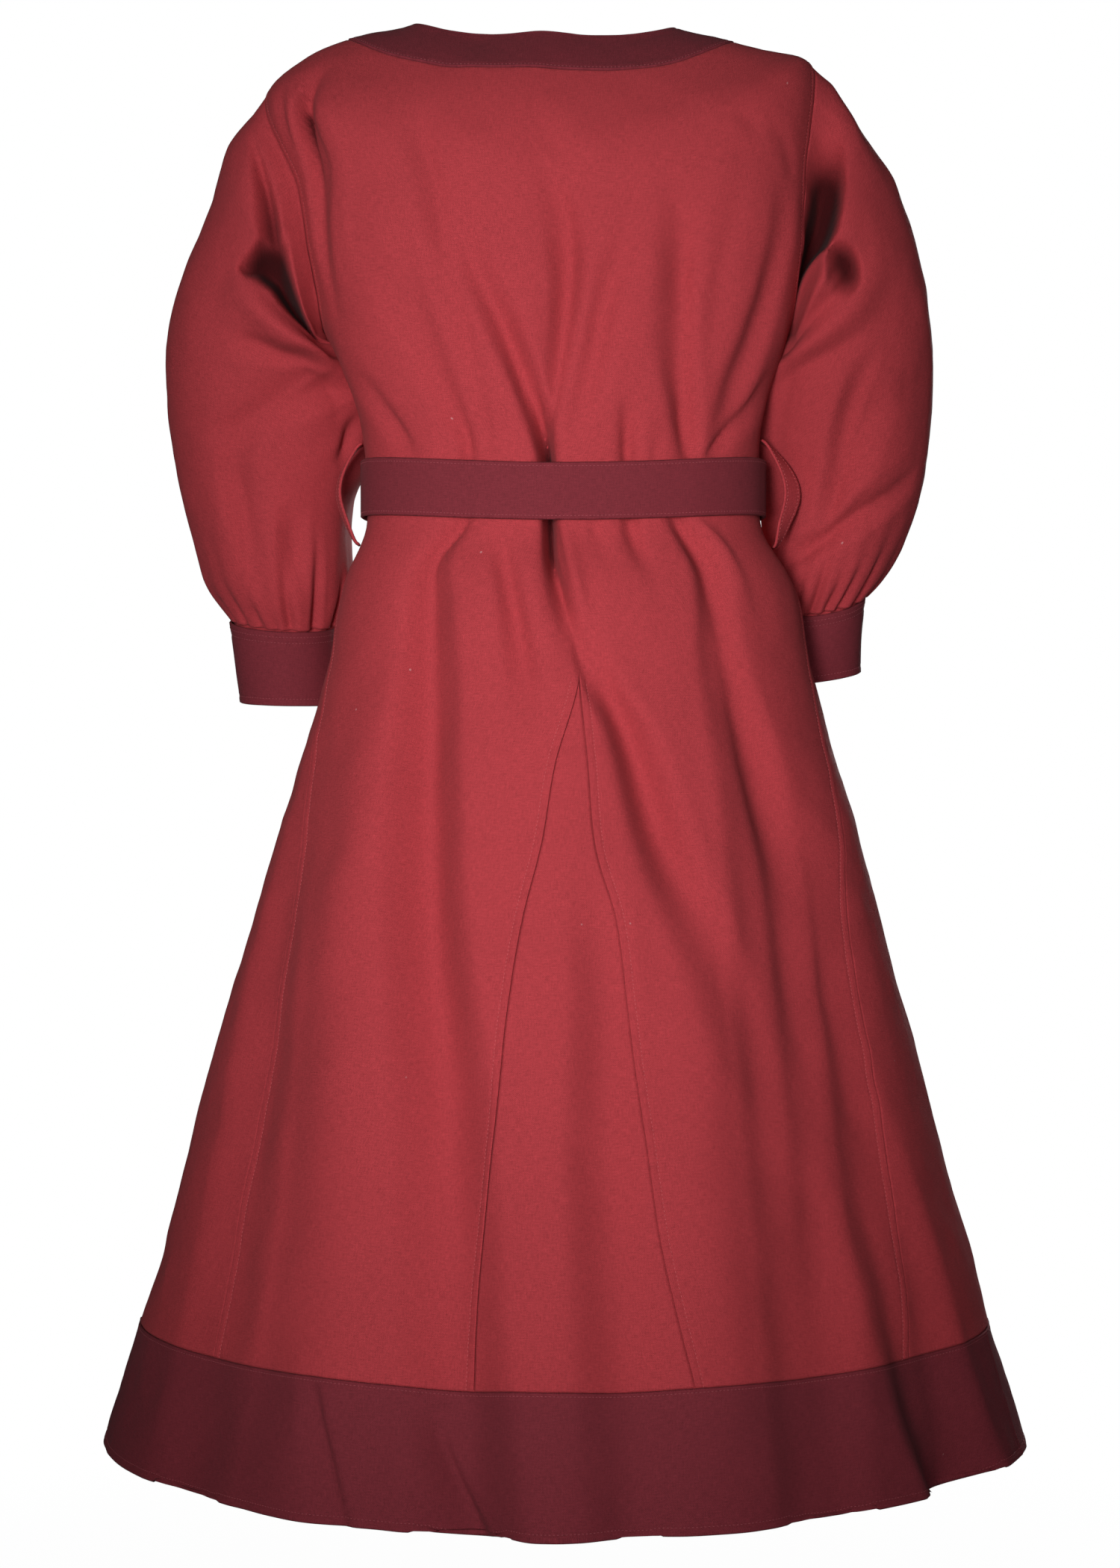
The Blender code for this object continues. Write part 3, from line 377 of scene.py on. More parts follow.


# %% [markdown]
# ## Creases
#
# The solids hold the largest folds. Real cloth also has narrow creases: a deep slit where the
# belt squeezes the back, drag lines that run to it, and tucks at the gathers. They are laid
# along lines, as soft troughs (negative depth) and ridges, in millimetres again. A
# crease may lean: then one of its walls is steep and the other one shallow, as where a fold
# laps over itself.

# %% The creases of the body
CREASE = "down angle depth width lean"
CREASES = folds(CREASE, {
    # bodice, from the left armhole to the right one
    "slit beside the left armhole": [
        (52, 16.5, 0, 7, -0.2), (70, 21, -6, 8, -0.4), (90, 21.2, -13.5, 8, -0.5),
        (110, 20.4, -12.5, 8, -0.5), (135, 19.6, -7, 9, -0.4), (165, 18.8, -3, 10, -0.3),
        (195, 18, 0, 10, -0.2),
    ],
    "roll beside the left armhole": [
        (50, 16, 0, 12, 0), (70, 23, 6, 13, 0), (102, 27, 9.5, 13, 0), (143, 25, 5.5, 14, 0),
        (185, 22, 0, 14, 0),
    ],
    "small valley on the armhole's seam": [
        (70, 15.5, 0, 6, 0.2), (84, 17.2, -2.4, 7, 0.3), (103, 17.4, -1.6, 7, 0.3),
        (114, 17, 0, 7, 0.2),
    ],
    "first left drag line": [
        (105, 38.5, 0, 10, 0.1), (148, 42, -1.4, 12, 0.2), (190, 45, -1.6, 12, 0.1),
        (218, 47.2, 0, 10, 0),
    ],
    "second left drag line": [
        (58, 47.8, 0, 10, 0.3), (80, 49.4, -2.4, 10, 0.4), (118, 51.8, -3.2, 11, 0.4),
        (156, 52.2, -3.4, 12, 0.2), (196, 56, -3, 12, 0.1), (232, 58, -3.2, 11, 0),
        (268, 58.4, -2.4, 8, 0), (284, 58.4, 0, 6, 0),
    ],
    "third left drag line": [
        (132, 57.5, 0, 10, 0), (170, 63, -2.4, 11, -0.1), (200, 69.8, -4, 11, -0.1),
        (231, 74.2, -4.6, 10, -0.2), (255, 77.5, -3.4, 8, -0.2), (272, 80.5, 0, 6, 0),
    ],
    "dark corner over the belt": [
        (215, 20, 0, 14, 0.2), (238, 24, -3, 15, 0.3), (262, 28.5, -4, 14, 0.3),
        (282, 33, 0, 10, 0.2),
    ],
    "centre drag line": [
        (56, 80.5, 0, 14, 0.2), (100, 91.6, -2.6, 17, 0.4), (142, 96, -5.4, 20, 0.5),
        (170, 95.2, -6.4, 19, 0.5), (204, 92, -6, 16, 0.4), (236, 88, -5.8, 13, 0.2),
        (258, 84.6, -4, 10, 0.1), (270, 83.6, 0, 8, 0),
    ],
    "first right drag line": [
        (108, 120.5, 0, 12, 0), (168, 110.4, -2.2, 13, -0.1), (194, 106.4, -3.2, 13, -0.2),
        (224, 104.6, -2.2, 12, 0), (252, 100, 0, 10, 0),
    ],
    "second right drag line": [
        (108, 131, 0, 10, 0.2), (146, 132, -2.6, 12, 0.3), (168, 133.2, -4.2, 11, 0.5),
        (200, 134, -3.4, 11, 0.3), (232, 136.4, -3.6, 11, 0.2), (262, 139.6, -4.4, 9, 0),
        (284, 142.4, 0, 6, 0),
    ],
    "third right drag line": [
        (104, 148, 0, 12, 0), (152, 143, -1.8, 14, 0.1), (196, 141.6, -2, 14, 0.1),
        (232, 141, 0, 10, 0),
    ],
    "turned corner over the belt": [
        (214, 165, 0, 14, -0.3), (238, 160.5, -3.4, 15, -0.4), (260, 153.5, -5.2, 14, -0.5),
        (276, 146.5, -2.8, 8, -0.3), (284, 144, 0, 6, 0),
    ],
    "short crease by the right shoulder": [
        (78, 147, 0, 8, 0), (91, 150.2, -1.6, 8, -0.2), (106, 152.4, 0, 7, 0),
    ],
    "crease by the right armhole": [
        (92, 153, 0, 8, 0), (110, 158, -1.8, 9, 0.2), (134, 161.6, 0, 8, 0),
    ],
    # round the belt
    "slit over and under the belt": [
        (205, 77, 0, 14, 0.1), (238, 80, -3, 13, 0.2), (258, 82, -9, 10, 0.2),
        (272, 83.5, -14, 6, 0.1), (311, 84, -15, 5, 0.2), (325, 84.8, -13, 6, 0.5),
        (345, 87, -7, 9, 0.6), (370, 90, -3, 14, 0.6), (402, 94, -1.5, 14, 0.5),
        (430, 98, 0, 12, 0.3),
    ],
    "lap right of the slit": [
        (311, 88, 1, 7, -0.2), (335, 91, 3, 10, -0.3), (370, 95, 4, 12, -0.2),
        (402, 98.6, 3, 12, 0), (440, 103, 0, 14, 0),
    ],
    "tuck at 45 over the belt": [(252, 43, 0, 5, 0), (272, 44.6, -2.4, 6, 0.2), (290, 45, 0, 5, 0)],
    "tuck at 51 over the belt": [(246, 51.6, 0, 5, 0), (270, 50.8, -2.6, 6, 0), (290, 50.4, 0, 5, 0)],
    "tuck at 117 over the belt": [
        (232, 115.6, 0, 6, 0), (256, 117, -2.6, 7, 0.2), (274, 118, -3, 6, 0.2),
        (300, 118, 0, 5, 0),
    ],
    "tuck at 128 over the belt": [(256, 128.6, 0, 5, 0), (273, 128, -2.2, 5, 0), (288, 128, 0, 5, 0)],
    # skirt, from left to right
    "left long crease": [
        (300, 52, 0, 5, 0.2), (314, 49, -3.6, 7, 0.3), (332, 40.8, -4.8, 10, 0.4),
        (357, 40.4, -5, 15, 0.3), (445, 46.6, -4.6, 21, 0.2), (533, 54.4, -4, 25, 0.1),
        (629, 63.2, -3, 28, 0), (745, 70.4, 0, 30, 0),
    ],
    "short crease right of it": [
        (312, 61.5, 0, 7, 0), (345, 68, -2.4, 10, 0.3), (391, 74.2, -2.2, 12, 0.2),
        (430, 78, 0, 12, 0),
    ],
    "crease right of the gore's tip": [
        (396, 99, 0, 12, 0), (433, 107.8, -3.6, 14, 0.3), (469, 112.8, -4.4, 16, 0.4),
        (513, 116.4, -3.4, 18, 0.3), (560, 122, 0, 18, 0.1),
    ],
    "right long crease": [
        (300, 133, 0, 6, 0.2), (314, 136.5, -3.6, 8, 0.3), (325, 140.6, -4, 10, 0.3),
        (357, 140.8, -3, 14, 0.3), (400, 142, -2.6, 18, 0.2), (448, 144, -3, 22, 0.2),
        (523, 150, -6, 34, -0.2), (600, 150, -6, 38, -0.3), (700, 148, -3, 38, -0.2),
        (800, 146, 0, 36, 0),
    ],
    "fullness left of the right long crease": [
        (325, 138.5, 0, 12, 0), (393, 137.5, 5.5, 18, 0), (449, 136.5, 10, 27, 0),
        (525, 137, 15, 34, 0), (665, 132, 12, 38, 0), (800, 128, 6, 40, 0), (880, 127, 5, 40, 0),
    ],
    "fullness over the right of the hem": [
        (600, 147, 0, 34, 0), (680, 148, 5, 40, 0), (760, 150, 13, 44, 0), (806, 151, 16, 46, 0),
        (845, 152, 15, 48, 0), (880, 154, 10, 50, 0),
    ],
    "crease across the middle of the hem band": [
        (815, 70, 0, 8, 0.3), (835, 72, -4.4, 11, 0.5), (858, 75.5, -5.2, 13, 0.6),
        (880, 79, -4.6, 15, 0.6),
    ],
    "crease in the left of the hem band": [
        (800, 52, 0, 8, 0.2), (822, 54, -4, 11, 0.5), (850, 57, -4.6, 13, 0.5),
        (880, 60, -3.8, 16, 0.5),
    ],
    "hollow under the neckband": [
        (56, 88, 0, 18, 0), (80, 93, -2.8, 24, 0), (105, 98, -2.4, 22, 0), (128, 101, 0, 18, 0),
    ],
    "thin roll right of the belt": [
        (308, 139, 0, 6, 0), (322, 146, 2.6, 7, 0), (342, 148.6, 2.2, 8, 0), (372, 149, 0, 10, 0),
    ],
    "tuck at 104 under the belt": [
        (296, 103, 0, 5, 0), (314, 103.6, -2.2, 6, 0.1), (344, 105.6, 0, 8, 0),
    ],
    "tuck at 119 under the belt": [
        (296, 119, 0, 5, 0), (315, 119, -2.6, 7, 0.1), (336, 120.4, -1.6, 9, 0.1),
        (366, 122, 0, 10, 0),
    ],
    # front, with the same character
    "front left drag line": [
        (120, 301, 0, 12, 0), (176, 292, -3.2, 14, 0.3), (225, 286.4, -4.4, 13, 0.3),
        (262, 282.2, -6, 9, 0.2), (286, 281.4, 0, 6, 0),
    ],
    "front second left drag line": [
        (150, 318, 0, 12, 0), (205, 313, -2.6, 13, -0.2), (258, 307, -4, 10, -0.1),
        (286, 305.4, 0, 6, 0),
    ],
    "front right drag line": [
        (136, 236, 0, 12, 0), (196, 247, -3.4, 14, -0.3), (240, 254.6, -5, 12, -0.2),
        (268, 258, -5.6, 8, 0), (286, 258.8, 0, 6, 0),
    ],
    "front second right drag line": [
        (166, 221, 0, 12, 0), (214, 225.4, -2.4, 13, 0.2), (260, 231.6, -3.6, 10, 0.1),
        (286, 233, 0, 6, 0),
    ],
    "front left crease under the belt": [
        (298, 280.6, 0, 6, 0), (318, 281.4, -5.6, 9, 0.3), (352, 283.8, -4, 13, 0.3),
        (440, 287, -3, 18, 0.1), (560, 290, 0, 22, 0),
    ],
    "front right crease under the belt": [
        (298, 258.6, 0, 6, 0), (317, 257, -5, 9, -0.2), (350, 253.6, -4.2, 13, -0.2),
        (460, 249.4, -3, 18, -0.1), (590, 246, 0, 22, 0),
    ],
    "front tuck at 236": [(298, 236, 0, 5, 0), (316, 236, -2.8, 7, 0.1), (356, 233.4, 0, 10, 0)],
    "front tuck at 304": [(298, 304.6, 0, 5, 0), (316, 304.8, -3, 7, -0.1), (366, 308.6, 0, 10, 0)],
})
print("creases on the body:", len(CREASES))

# %% [markdown]
# ## Sheets of cloth
#
# The surface functions are those of the solids: a ring, its folds along their normals, and
# sleeves that grow out of the armholes. New are the creases, a slight unevenness of the cloth,
# the sink of the shoulders and the deep hollows of the sleeves.

# %% Curves and folds
def smooth(table, column, at, key="down"):
    """The value of a column between the table's rows, on a curve with no kinks."""
    places, values = table[key], table[column]
    slopes = np.gradient(values, places)
    at = np.clip(at, places[0], places[-1])
    i = np.clip(np.searchsorted(places, at) - 1, 0, len(places) - 2)
    step = places[i + 1] - places[i]
    t = (at - places[i]) / step
    start = (1 + 2 * t) * (1 - t) ** 2 * values[i] + t * (1 - t) ** 2 * step * slopes[i]
    end = t * t * (3 - 2 * t) * values[i + 1] + t * t * (t - 1) * step * slopes[i + 1]
    return start + end


def stack(x, y, z):
    return np.stack(np.broadcast_arrays(x, y, z), axis=-1)


def unit(vectors):
    return vectors / np.maximum(np.linalg.norm(vectors, axis=-1, keepdims=True), 1e-12)


def ease(t):
    t = np.clip(t, 0.0, 1.0)
    return t * t * (3 - 2 * t)


def bump(across):
    """1 on a fold's line, falling smoothly to 0 at its edges."""
    return np.clip(1 - across**2, 0.0, 1.0) ** 2


CREASE_ROUNDING = 0.22  # how blunt a crease's bottom is, by its half width
CREASE_POWER = 1.7


def sharp(across):
    """1 on a crease's line, falling steeply at first and then softly to 0."""
    bent = np.sqrt(across**2 + CREASE_ROUNDING**2) - CREASE_ROUNDING
    full = math.sqrt(1 + CREASE_ROUNDING**2) - CREASE_ROUNDING
    return np.clip(1 - bent / full, 0.0, 1.0) ** CREASE_POWER


def fold_depth(fold, key, line, along, across, scale, turn=360.0):
    """How far one fold pushes the cloth out, at places given along and across it."""
    along, across, scale = np.broadcast_arrays(along, across, scale)
    on = (along >= fold[key][0]) & (along <= fold[key][-1])
    along = along[on]
    off = (across[on] - smooth(fold, line, along, key) + turn / 2) % turn - turn / 2
    off = off * scale[on] / smooth(fold, "width", along, key)
    if "lean" in fold:
        off = off / (1 - np.sign(off) * smooth(fold, "lean", along, key))
    if "wall" in fold:
        wall = smooth(fold, "wall", along, key)
        shape = 1 - ease((np.abs(off) - 1 + wall) / wall)
    elif "lean" in fold:
        shape = sharp(off)
    else:
        shape = bump(off)
    depth = np.zeros(on.shape)
    depth[on] = smooth(fold, "depth", along, key) * shape
    return depth


MERGE = 4  # the higher, the harder the change from one trough to the next


def together(depths):
    """Troughs that meet: the deepest wins, with a soft change, so that they make no pit."""
    troughs = sum(np.maximum(-d, 0.0) ** MERGE for d in depths) ** (1 / MERGE)
    return sum(np.maximum(d, 0.0) for d in depths) - troughs


DOWN_STEP, SHARE_STEP, TURN_STEP = 1e-4, 1e-3, 0.05  # in metres, of a sleeve, in degrees


def normals_of(surface, along, turn, along_step):
    """Outward normals of a surface, from its slopes both ways."""
    round_it = surface(along, turn + TURN_STEP) - surface(along, turn - TURN_STEP)
    down_it = surface(along + along_step, turn) - surface(along - along_step, turn)
    return unit(np.cross(down_it, round_it))


def body_ring_radius(down, angle):
    c, s = np.cos(np.radians(angle)), np.sin(np.radians(angle))
    depth = np.where(s >= 0, smooth(BODY, "back_depth", down), smooth(BODY, "front_depth", down))
    power = smooth(BODY, "square", down)
    across = (np.abs(c) / smooth(BODY, "half", down)) ** power
    return (across + (np.abs(s) / depth) ** power) ** (-1 / power)


def plain_body(down, angle):
    """The body with no folds. down is measured at the centre back."""
    c, s = np.cos(np.radians(angle)), np.sin(np.radians(angle))
    radius = body_ring_radius(down, angle)
    middle_level = np.where(s >= 0, down, smooth(BODY, "front", down))
    across = np.clip(radius * c / smooth(BODY, "half", down), -1.0, 1.0)
    climb = np.abs(across) ** smooth(BODY, "rise", down)
    side_level = smooth(BODY, "side", down) + across * smooth(BODY, "tilt", down) / 2
    level = middle_level + climb * (side_level - middle_level)
    below = np.maximum(down - HEM, 0.0)
    return stack(smooth(BODY, "middle", down) + radius * c, radius * s, -level - below)


CELLS = 96  # along each side of the lattice


def crumple(points, size, seed):
    """A smooth unevenness of about 1 either way, from a lattice of seeded random numbers."""
    lattice = np.random.default_rng(seed).standard_normal((CELLS, CELLS, CELLS))
    places = points / size + CELLS / 2
    low = np.floor(places).astype(int)
    part = ease(places - low)
    total = 0.0
    for corner in range(8):
        step = np.array([corner >> 2 & 1, corner >> 1 & 1, corner & 1])
        at = (low + step) % CELLS
        weight = np.prod(np.where(step == 1, part, 1 - part), axis=-1)
        total = total + weight * lattice[at[..., 0], at[..., 1], at[..., 2]]
    return total


UNEVEN = [(0.045, 0.0011, 1), (0.017, 0.00035, 2), (0.006, 0.00008, 3)]  # size, depth and seed


def unevenness(points):
    return sum(depth * crumple(points, size, seed) for size, depth, seed in UNEVEN)


BELT_PRESS = 0.045  # how far above and below its middle the belt is felt


def off_the_belt(down):
    """1 on loose cloth, falling to 0 where the belt presses the cloth flat."""
    return 1 - bump((down - BELT_MIDDLE) / BELT_PRESS)


def painted_cavity_shade(depth, start, full):
    """0 on open cloth, rising to 1 where a fold is so deep that little light gets out; it sets the painted
    shade there.
    """
    return ease((-depth - start) / (full - start))


def creases_of_body(down, angle, per_degree):
    lines = CREASES.values()
    return together([fold_depth(c, "down", "angle", down, angle, per_degree) for c in lines])


SHOULDER_SINK = {"left": 0.0013, "right": 0.0036}  # how far the cloth sinks between neck and sleeve
SINK_NARROW = 1.6  # the higher, the closer it stays to the side
SINK_DOWN, SINK_FADE = 0.03, 0.06  # where it begins to fade, and how soon it is gone


def shoulder_sink(down, angle):
    right = (1 - np.cos(np.radians(angle))) / 2
    sides = {"left": right, "right": 1 - right}
    sink = sum(SHOULDER_SINK[side] * bump(SINK_NARROW * away) for side, away in sides.items())
    return sink * (1 - ease((down - SINK_DOWN) / SINK_FADE))


def body(down, angle):
    """The body with its folds, creases and unevenness."""
    per_degree = np.radians(body_ring_radius(down, angle))
    plain = plain_body(down, angle)
    depth = unevenness(plain) * off_the_belt(down)
    for line in FOLDS.values():
        depth = depth + fold_depth(line, "down", "angle", down, angle, per_degree)
    depth = depth + creases_of_body(down, angle, per_degree)
    sunk = plain - stack(0.0, 0.0, shoulder_sink(down, angle))
    return sunk + depth[..., None] * normals_of(plain_body, down, angle, DOWN_STEP)


def belt_line(down, angle):
    """The outside of the belt, before its lap, and its normals: the waist's section, straight up."""

    def waist_ring(down, angle):
        ring = plain_body(BELT_MIDDLE + 0.0 * down, angle)
        return stack(ring[..., 0], ring[..., 1], -down + 0.0 * angle)

    out = normals_of(waist_ring, down, angle, DOWN_STEP)
    points = waist_ring(down, angle)
    points[..., 2] = plain_body(down, angle)[..., 2]
    return points + (BELT_CLEARANCE + BELT_WALL) * out, out


def side_sign(side):
    return 1.0 if side == "left" else -1.0


def armhole(side, turn, inside=0.0):
    """The armhole's edge: 0 is the shoulder tip, 90 its back, 180 the underarm.

    inside moves the line onto the panels, away from the hole.
    """
    share = (1 - np.cos(np.radians(turn))) / 2
    down = SHOULDER_TIP - inside + share * (UNDERARM - SHOULDER_TIP + 2 * inside)
    half_angle = ARMHOLE_HALF_ANGLE + np.degrees(inside / CHEST_RADIUS)
    angle = half_angle * np.sin(np.radians(turn))
    return down, angle if side == "left" else 180.0 - angle


def plain_sleeve(side, share, turn):
    """The sleeve with no folds: an oval between its outer and inner points."""
    table, sign = SLEEVE[side], side_sign(side)
    c, s = np.cos(np.radians(turn)), np.sin(np.radians(turn))

    def at(column):
        return smooth(table, column, share, key="share")

    x = sign * ((at("outer") + at("inner")) / 2 + c * (at("outer") - at("inner")) / 2)
    y = at("forward") + s * at("half_depth")
    level = (at("outer_down") + at("inner_down")) / 2 + c * (at("outer_down") - at("inner_down")) / 2
    return stack(x, y, -(level + s * at("drop")))


# %% [markdown]
# ## Sleeves and cuffs
#
# A sleeve starts on its armhole and ends in its cuff. Gathering stitches squeeze its wide end
# into the cuff, so the folds there are close together, deep and never quite alike.

# %% Creases of the sleeves
LONG_CREASE = "share turn depth width lean"
CROSS_CREASE = "turn share depth width lean"
# Fuller on the outer side, over the cuff
OUTER_FULLNESS = fold(LONG_FOLD, [(0.58, 0, 0, 30), (0.8, 0, 3, 40), (0.94, 0, 3, 36), (1, 0, 1, 30)])
SLEEVE_CREASES = {
    "left": [
        # the soft trough across the forearm
        fold(LONG_CREASE, [
            (0.36, 134, 0, 14, 0), (0.4, 126, -4, 16, 0.2), (0.455, 115, -6, 19, 0.3),
            (0.55, 94, -6, 19, 0.2), (0.62, 76, -5, 18, 0.1), (0.68, 68, 0, 16, 0),
        ]),
        fold(LONG_CREASE, [
            (0.64, 70, 0, 14, -0.2), (0.72, 76, -5, 18, -0.3), (0.8, 77, -5, 18, -0.3),
            (0.93, 76, 0, 14, -0.2),
        ]),
        fold(LONG_CREASE, [
            (0.44, 162, 0, 8, 0), (0.5, 158, -5, 9, 0.2), (0.57, 153, -6, 9, 0.2),
            (0.63, 143, 0, 8, 0),
        ]),
        fold(LONG_CREASE, [(0.76, 112, 0, 14, 0), (0.83, 111, -5, 16, 0.2), (0.9, 108, 0, 12, 0)]),
        # fuller on the side of the body, so that no daylight shows between them
        fold(LONG_FOLD, [
            (0.02, 186, 0, 20), (0.08, 184, 8, 28), (0.18, 180, 16, 34), (0.3, 176, 17, 36),
            (0.45, 178, 11, 36), (0.6, 178, 4, 34), (0.72, 178, -2, 30), (0.84, 178, -2, 30),
            (0.92, 176, 3, 28), (1, 176, 0, 26),
        ]),
        # fuller over the shoulder's end
        fold(LONG_FOLD, [(0.06, 12, 0, 30), (0.15, 12, 4, 36), (0.24, 12, 0, 30)]),
        OUTER_FULLNESS,
        # the front of the sleeve
        fold(LONG_CREASE, [
            (0.12, 268, 0, 12, 0), (0.25, 262, -6, 14, 0.4), (0.4, 258, -4, 15, 0.3),
            (0.56, 256, 0, 14, 0),
        ]),
        fold(LONG_CREASE, [(0.46, 300, 0, 12, 0), (0.6, 292, -4, 15, -0.2), (0.78, 286, 0, 12, 0)]),
    ],
    "right": [
        fold(LONG_CREASE, [
            (0.5, 76, 0, 14, 0.2), (0.58, 80, -4, 17, 0.3), (0.68, 92, -7, 20, 0.4),
            (0.77, 103, -6, 18, 0.3), (0.86, 110, 0, 14, 0),
        ]),
        fold(LONG_FOLD, [
            (0.02, 186, 0, 20), (0.08, 184, 5, 26), (0.18, 180, 10, 32), (0.3, 176, 14, 36),
            (0.54, 178, 10, 34), (0.72, 177, 6, 32), (0.88, 176, 0, 30),
        ]),
        fold(LONG_FOLD, [(0.05, 12, 0, 30), (0.14, 12, -5, 36), (0.24, 12, 0, 30)]),
        OUTER_FULLNESS,
        fold(LONG_CREASE, [
            (0.1, 270, 0, 12, 0), (0.24, 264, -7, 14, -0.4), (0.38, 262, -4, 15, -0.3),
            (0.52, 266, 0, 14, 0),
        ]),
        fold(LONG_CREASE, [(0.5, 298, 0, 12, 0), (0.62, 290, -4, 15, 0.2), (0.8, 280, 0, 12, 0)]),
    ],
}
CROSS_CREASES = {
    "left": [
        fold(CROSS_CREASE, [
            (76, 0.425, 0, 12, 0), (90, 0.404, -4, 14, -0.2), (106, 0.39, -6, 16, -0.3),
            (124, 0.352, -6, 16, -0.2), (142, 0.335, 0, 12, 0),
        ]),
        fold(CROSS_CREASE, [
            (212, 0.262, 0, 14, 0.5), (240, 0.282, -9, 18, 0.6), (272, 0.268, -7, 18, 0.6),
            (305, 0.25, 0, 14, 0.4),
        ]),
    ],
    "right": [
        fold(CROSS_CREASE, [
            (34, 0.77, 0, 14, 0.2), (60, 0.792, -5, 17, 0.4), (90, 0.828, -8, 18, 0.4),
            (118, 0.868, -6, 16, 0.3), (146, 0.9, 0, 12, 0),
        ]),
        fold(CROSS_CREASE, [
            (214, 0.25, 0, 14, 0.5), (244, 0.27, -9, 18, 0.6), (274, 0.262, -6, 18, 0.6),
            (302, 0.246, 0, 14, 0.4),
        ]),
    ],
}
# Deep hollows behind the arm. They are pressed straight in, so their walls stand steeply.
# wall is the share of the half width that its slope takes.
LONG_WELL = "share turn depth width lean wall"
CROSS_WELL = "turn share depth width lean wall"
LONG_HOLLOWS = {
    "left": [
        # the crease that runs down into the hollow
        fold(LONG_CREASE, [
            (0.06, 50, 0, 18, 0), (0.085, 64, -6, 22, 0), (0.108, 77, -13, 26, 0),
            (0.135, 88, -17, 28, 0), (0.17, 94, -12, 26, 0), (0.2, 98, 0, 22, 0),
        ]),
    ],
    "right": [
        # the crescent pocket at the hollow's end
        fold(LONG_WELL, [
            (0.15, 100, 0, 10, -0.3, 1), (0.185, 95, -13, 11, -0.5, 1),
            (0.215, 90.5, -20, 13, -0.6, 1), (0.245, 86.5, -22, 13, -0.6, 1),
            (0.275, 85, -20, 12, -0.6, 1), (0.298, 86, -10, 9, -0.4, 1), (0.316, 88, 0, 7, -0.3, 1),
        ]),
    ],
}
CROSS_HOLLOWS = {
    "left": [
        # the pit and the hollow: the upper arm's cloth drops behind the swelling lower sleeve
        fold(CROSS_WELL, [
            (70, 0.283, 0, 6, 0.5, 1), (74, 0.281, -10, 8, 0.5, 1), (78, 0.268, -18, 14, 0.45, 1),
            (84, 0.238, -28, 24.1, 0.35, 1), (90, 0.224, -35, 27.5, 0.35, 1),
            (98, 0.209, -38, 31.1, 0.35, 1), (106, 0.213, -38, 30.1, 0.35, 1),
            (114, 0.22, -36, 27, 0.45, 1), (122, 0.218, -31, 23, 0.5, 1),
            (132, 0.214, -20, 17, 0.65, 1), (144, 0.19, -12, 10, 0.6, 1),
            (156, 0.172, -4, 6, 0.5, 1), (166, 0.165, 0, 4, 0.4, 1),
        ]),
        fold(CROSS_FOLD, [
            (66, 0.33, 0, 16), (84, 0.322, 4, 18), (110, 0.318, 8, 22), (134, 0.29, 8, 22),
            (158, 0.26, 0, 20),
        ]),
    ],
    "right": [
        # the black hollow between the armhole and the swelling lower sleeve
        fold(CROSS_WELL, [
            (50, 0.06, 0, 21, 0.3, 1), (62, 0.078, -6, 24, 0.4, 1), (72, 0.096, -18, 26, 0.4, 0.9),
            (82, 0.108, -32, 28, 0.4, 0.8), (92, 0.116, -42, 29, 0.4, 0.8),
            (100, 0.11, -44, 27, 0.4, 0.8), (107, 0.088, -42, 21, 0.4, 0.8),
            (114, 0.064, -36, 15, 0.4, 0.8), (122, 0.043, -24, 10, 0.4, 0.8),
            (134, 0.023, -10, 6, 0.4, 0.9), (148, 0.006, 0, 5, 0.4, 0.9),
        ]),
        fold(CROSS_FOLD, [
            (90, 0.25, 0, 20), (106, 0.205, 4, 24), (122, 0.16, 6, 28), (144, 0.13, 4, 28),
            (168, 0.12, 0, 24),
        ]),
    ],
}
# painted shade: the sleeves' cloth is darkened in its hollows between these depths
HOLLOW_START, HOLLOW_FULL = 0.003, 0.024  # depths at which a hollow begins to be dark, and is darkest
# The gathers that show above each cuff: turn, where they start, their depth and width
GATHER = "turn start depth width"
CUFF_GATHERS = {
    "left": fold(GATHER, [
        (28, 0.93, -2, 4), (48, 0.9, -2.4, 4.5), (69, 0.92, -2.2, 5), (86, 0.955, -1.6, 3),
        (100, 0.83, -4.2, 6), (128, 0.74, -7, 6.5), (158, 0.85, -6, 6), (186, 0.9, -3, 5),
        (214, 0.86, -4, 6), (239, 0.91, -2.6, 4.5), (262, 0.82, -4.6, 6), (288, 0.93, -2.2, 4),
        (309, 0.87, -3.6, 5.5), (335, 0.91, -2.4, 4.5), (357, 0.94, -2, 4),
    ]),
    "right": fold(GATHER, [
        (22, 0.93, -2.2, 4.5), (46, 0.86, -4.2, 5.5), (67, 0.88, -4, 5.5), (82, 0.9, -3.6, 4.8),
        (99, 0.84, -4.6, 5.6), (118, 0.9, -3, 5), (146, 0.85, -5, 6), (172, 0.92, -2.6, 4.5),
        (198, 0.88, -3.4, 5.5), (226, 0.84, -4.4, 6), (252, 0.92, -2.4, 4.5),
        (276, 0.87, -3.8, 5.5), (301, 0.93, -2.2, 4.2), (322, 0.86, -4, 6), (347, 0.91, -2.6, 4.8),
    ]),
}
print("gathers above each cuff:", len(CUFF_GATHERS["left"]["turn"]))

# %% Sleeves and cuffs as surfaces
CHEST_RADIUS = 0.155  # from the middle of the body to the armhole
SLEEVE_SEAM = 180.0  # the turn at which a sleeve is sewn shut
SLEEVE_JOIN = 0.2  # share of the sleeve over which the armhole's form fades
SLEEVE_SMOOTH = 0.05  # share of the sleeve over which its unevenness grows
RIPPLE = 0.25  # depth of the small ripples, by GATHER_DEPTH
CUFF_HOLD = 0.015  # share of the sleeve over which the cuff flattens the gathers
HELD_BACK = 0.45  # how much of a gather's depth the cuff takes away


def per_degree_of(side, share):
    """The length of one degree round a sleeve."""
    return np.radians(smooth(SLEEVE[side], "half_depth", share, key="share"))


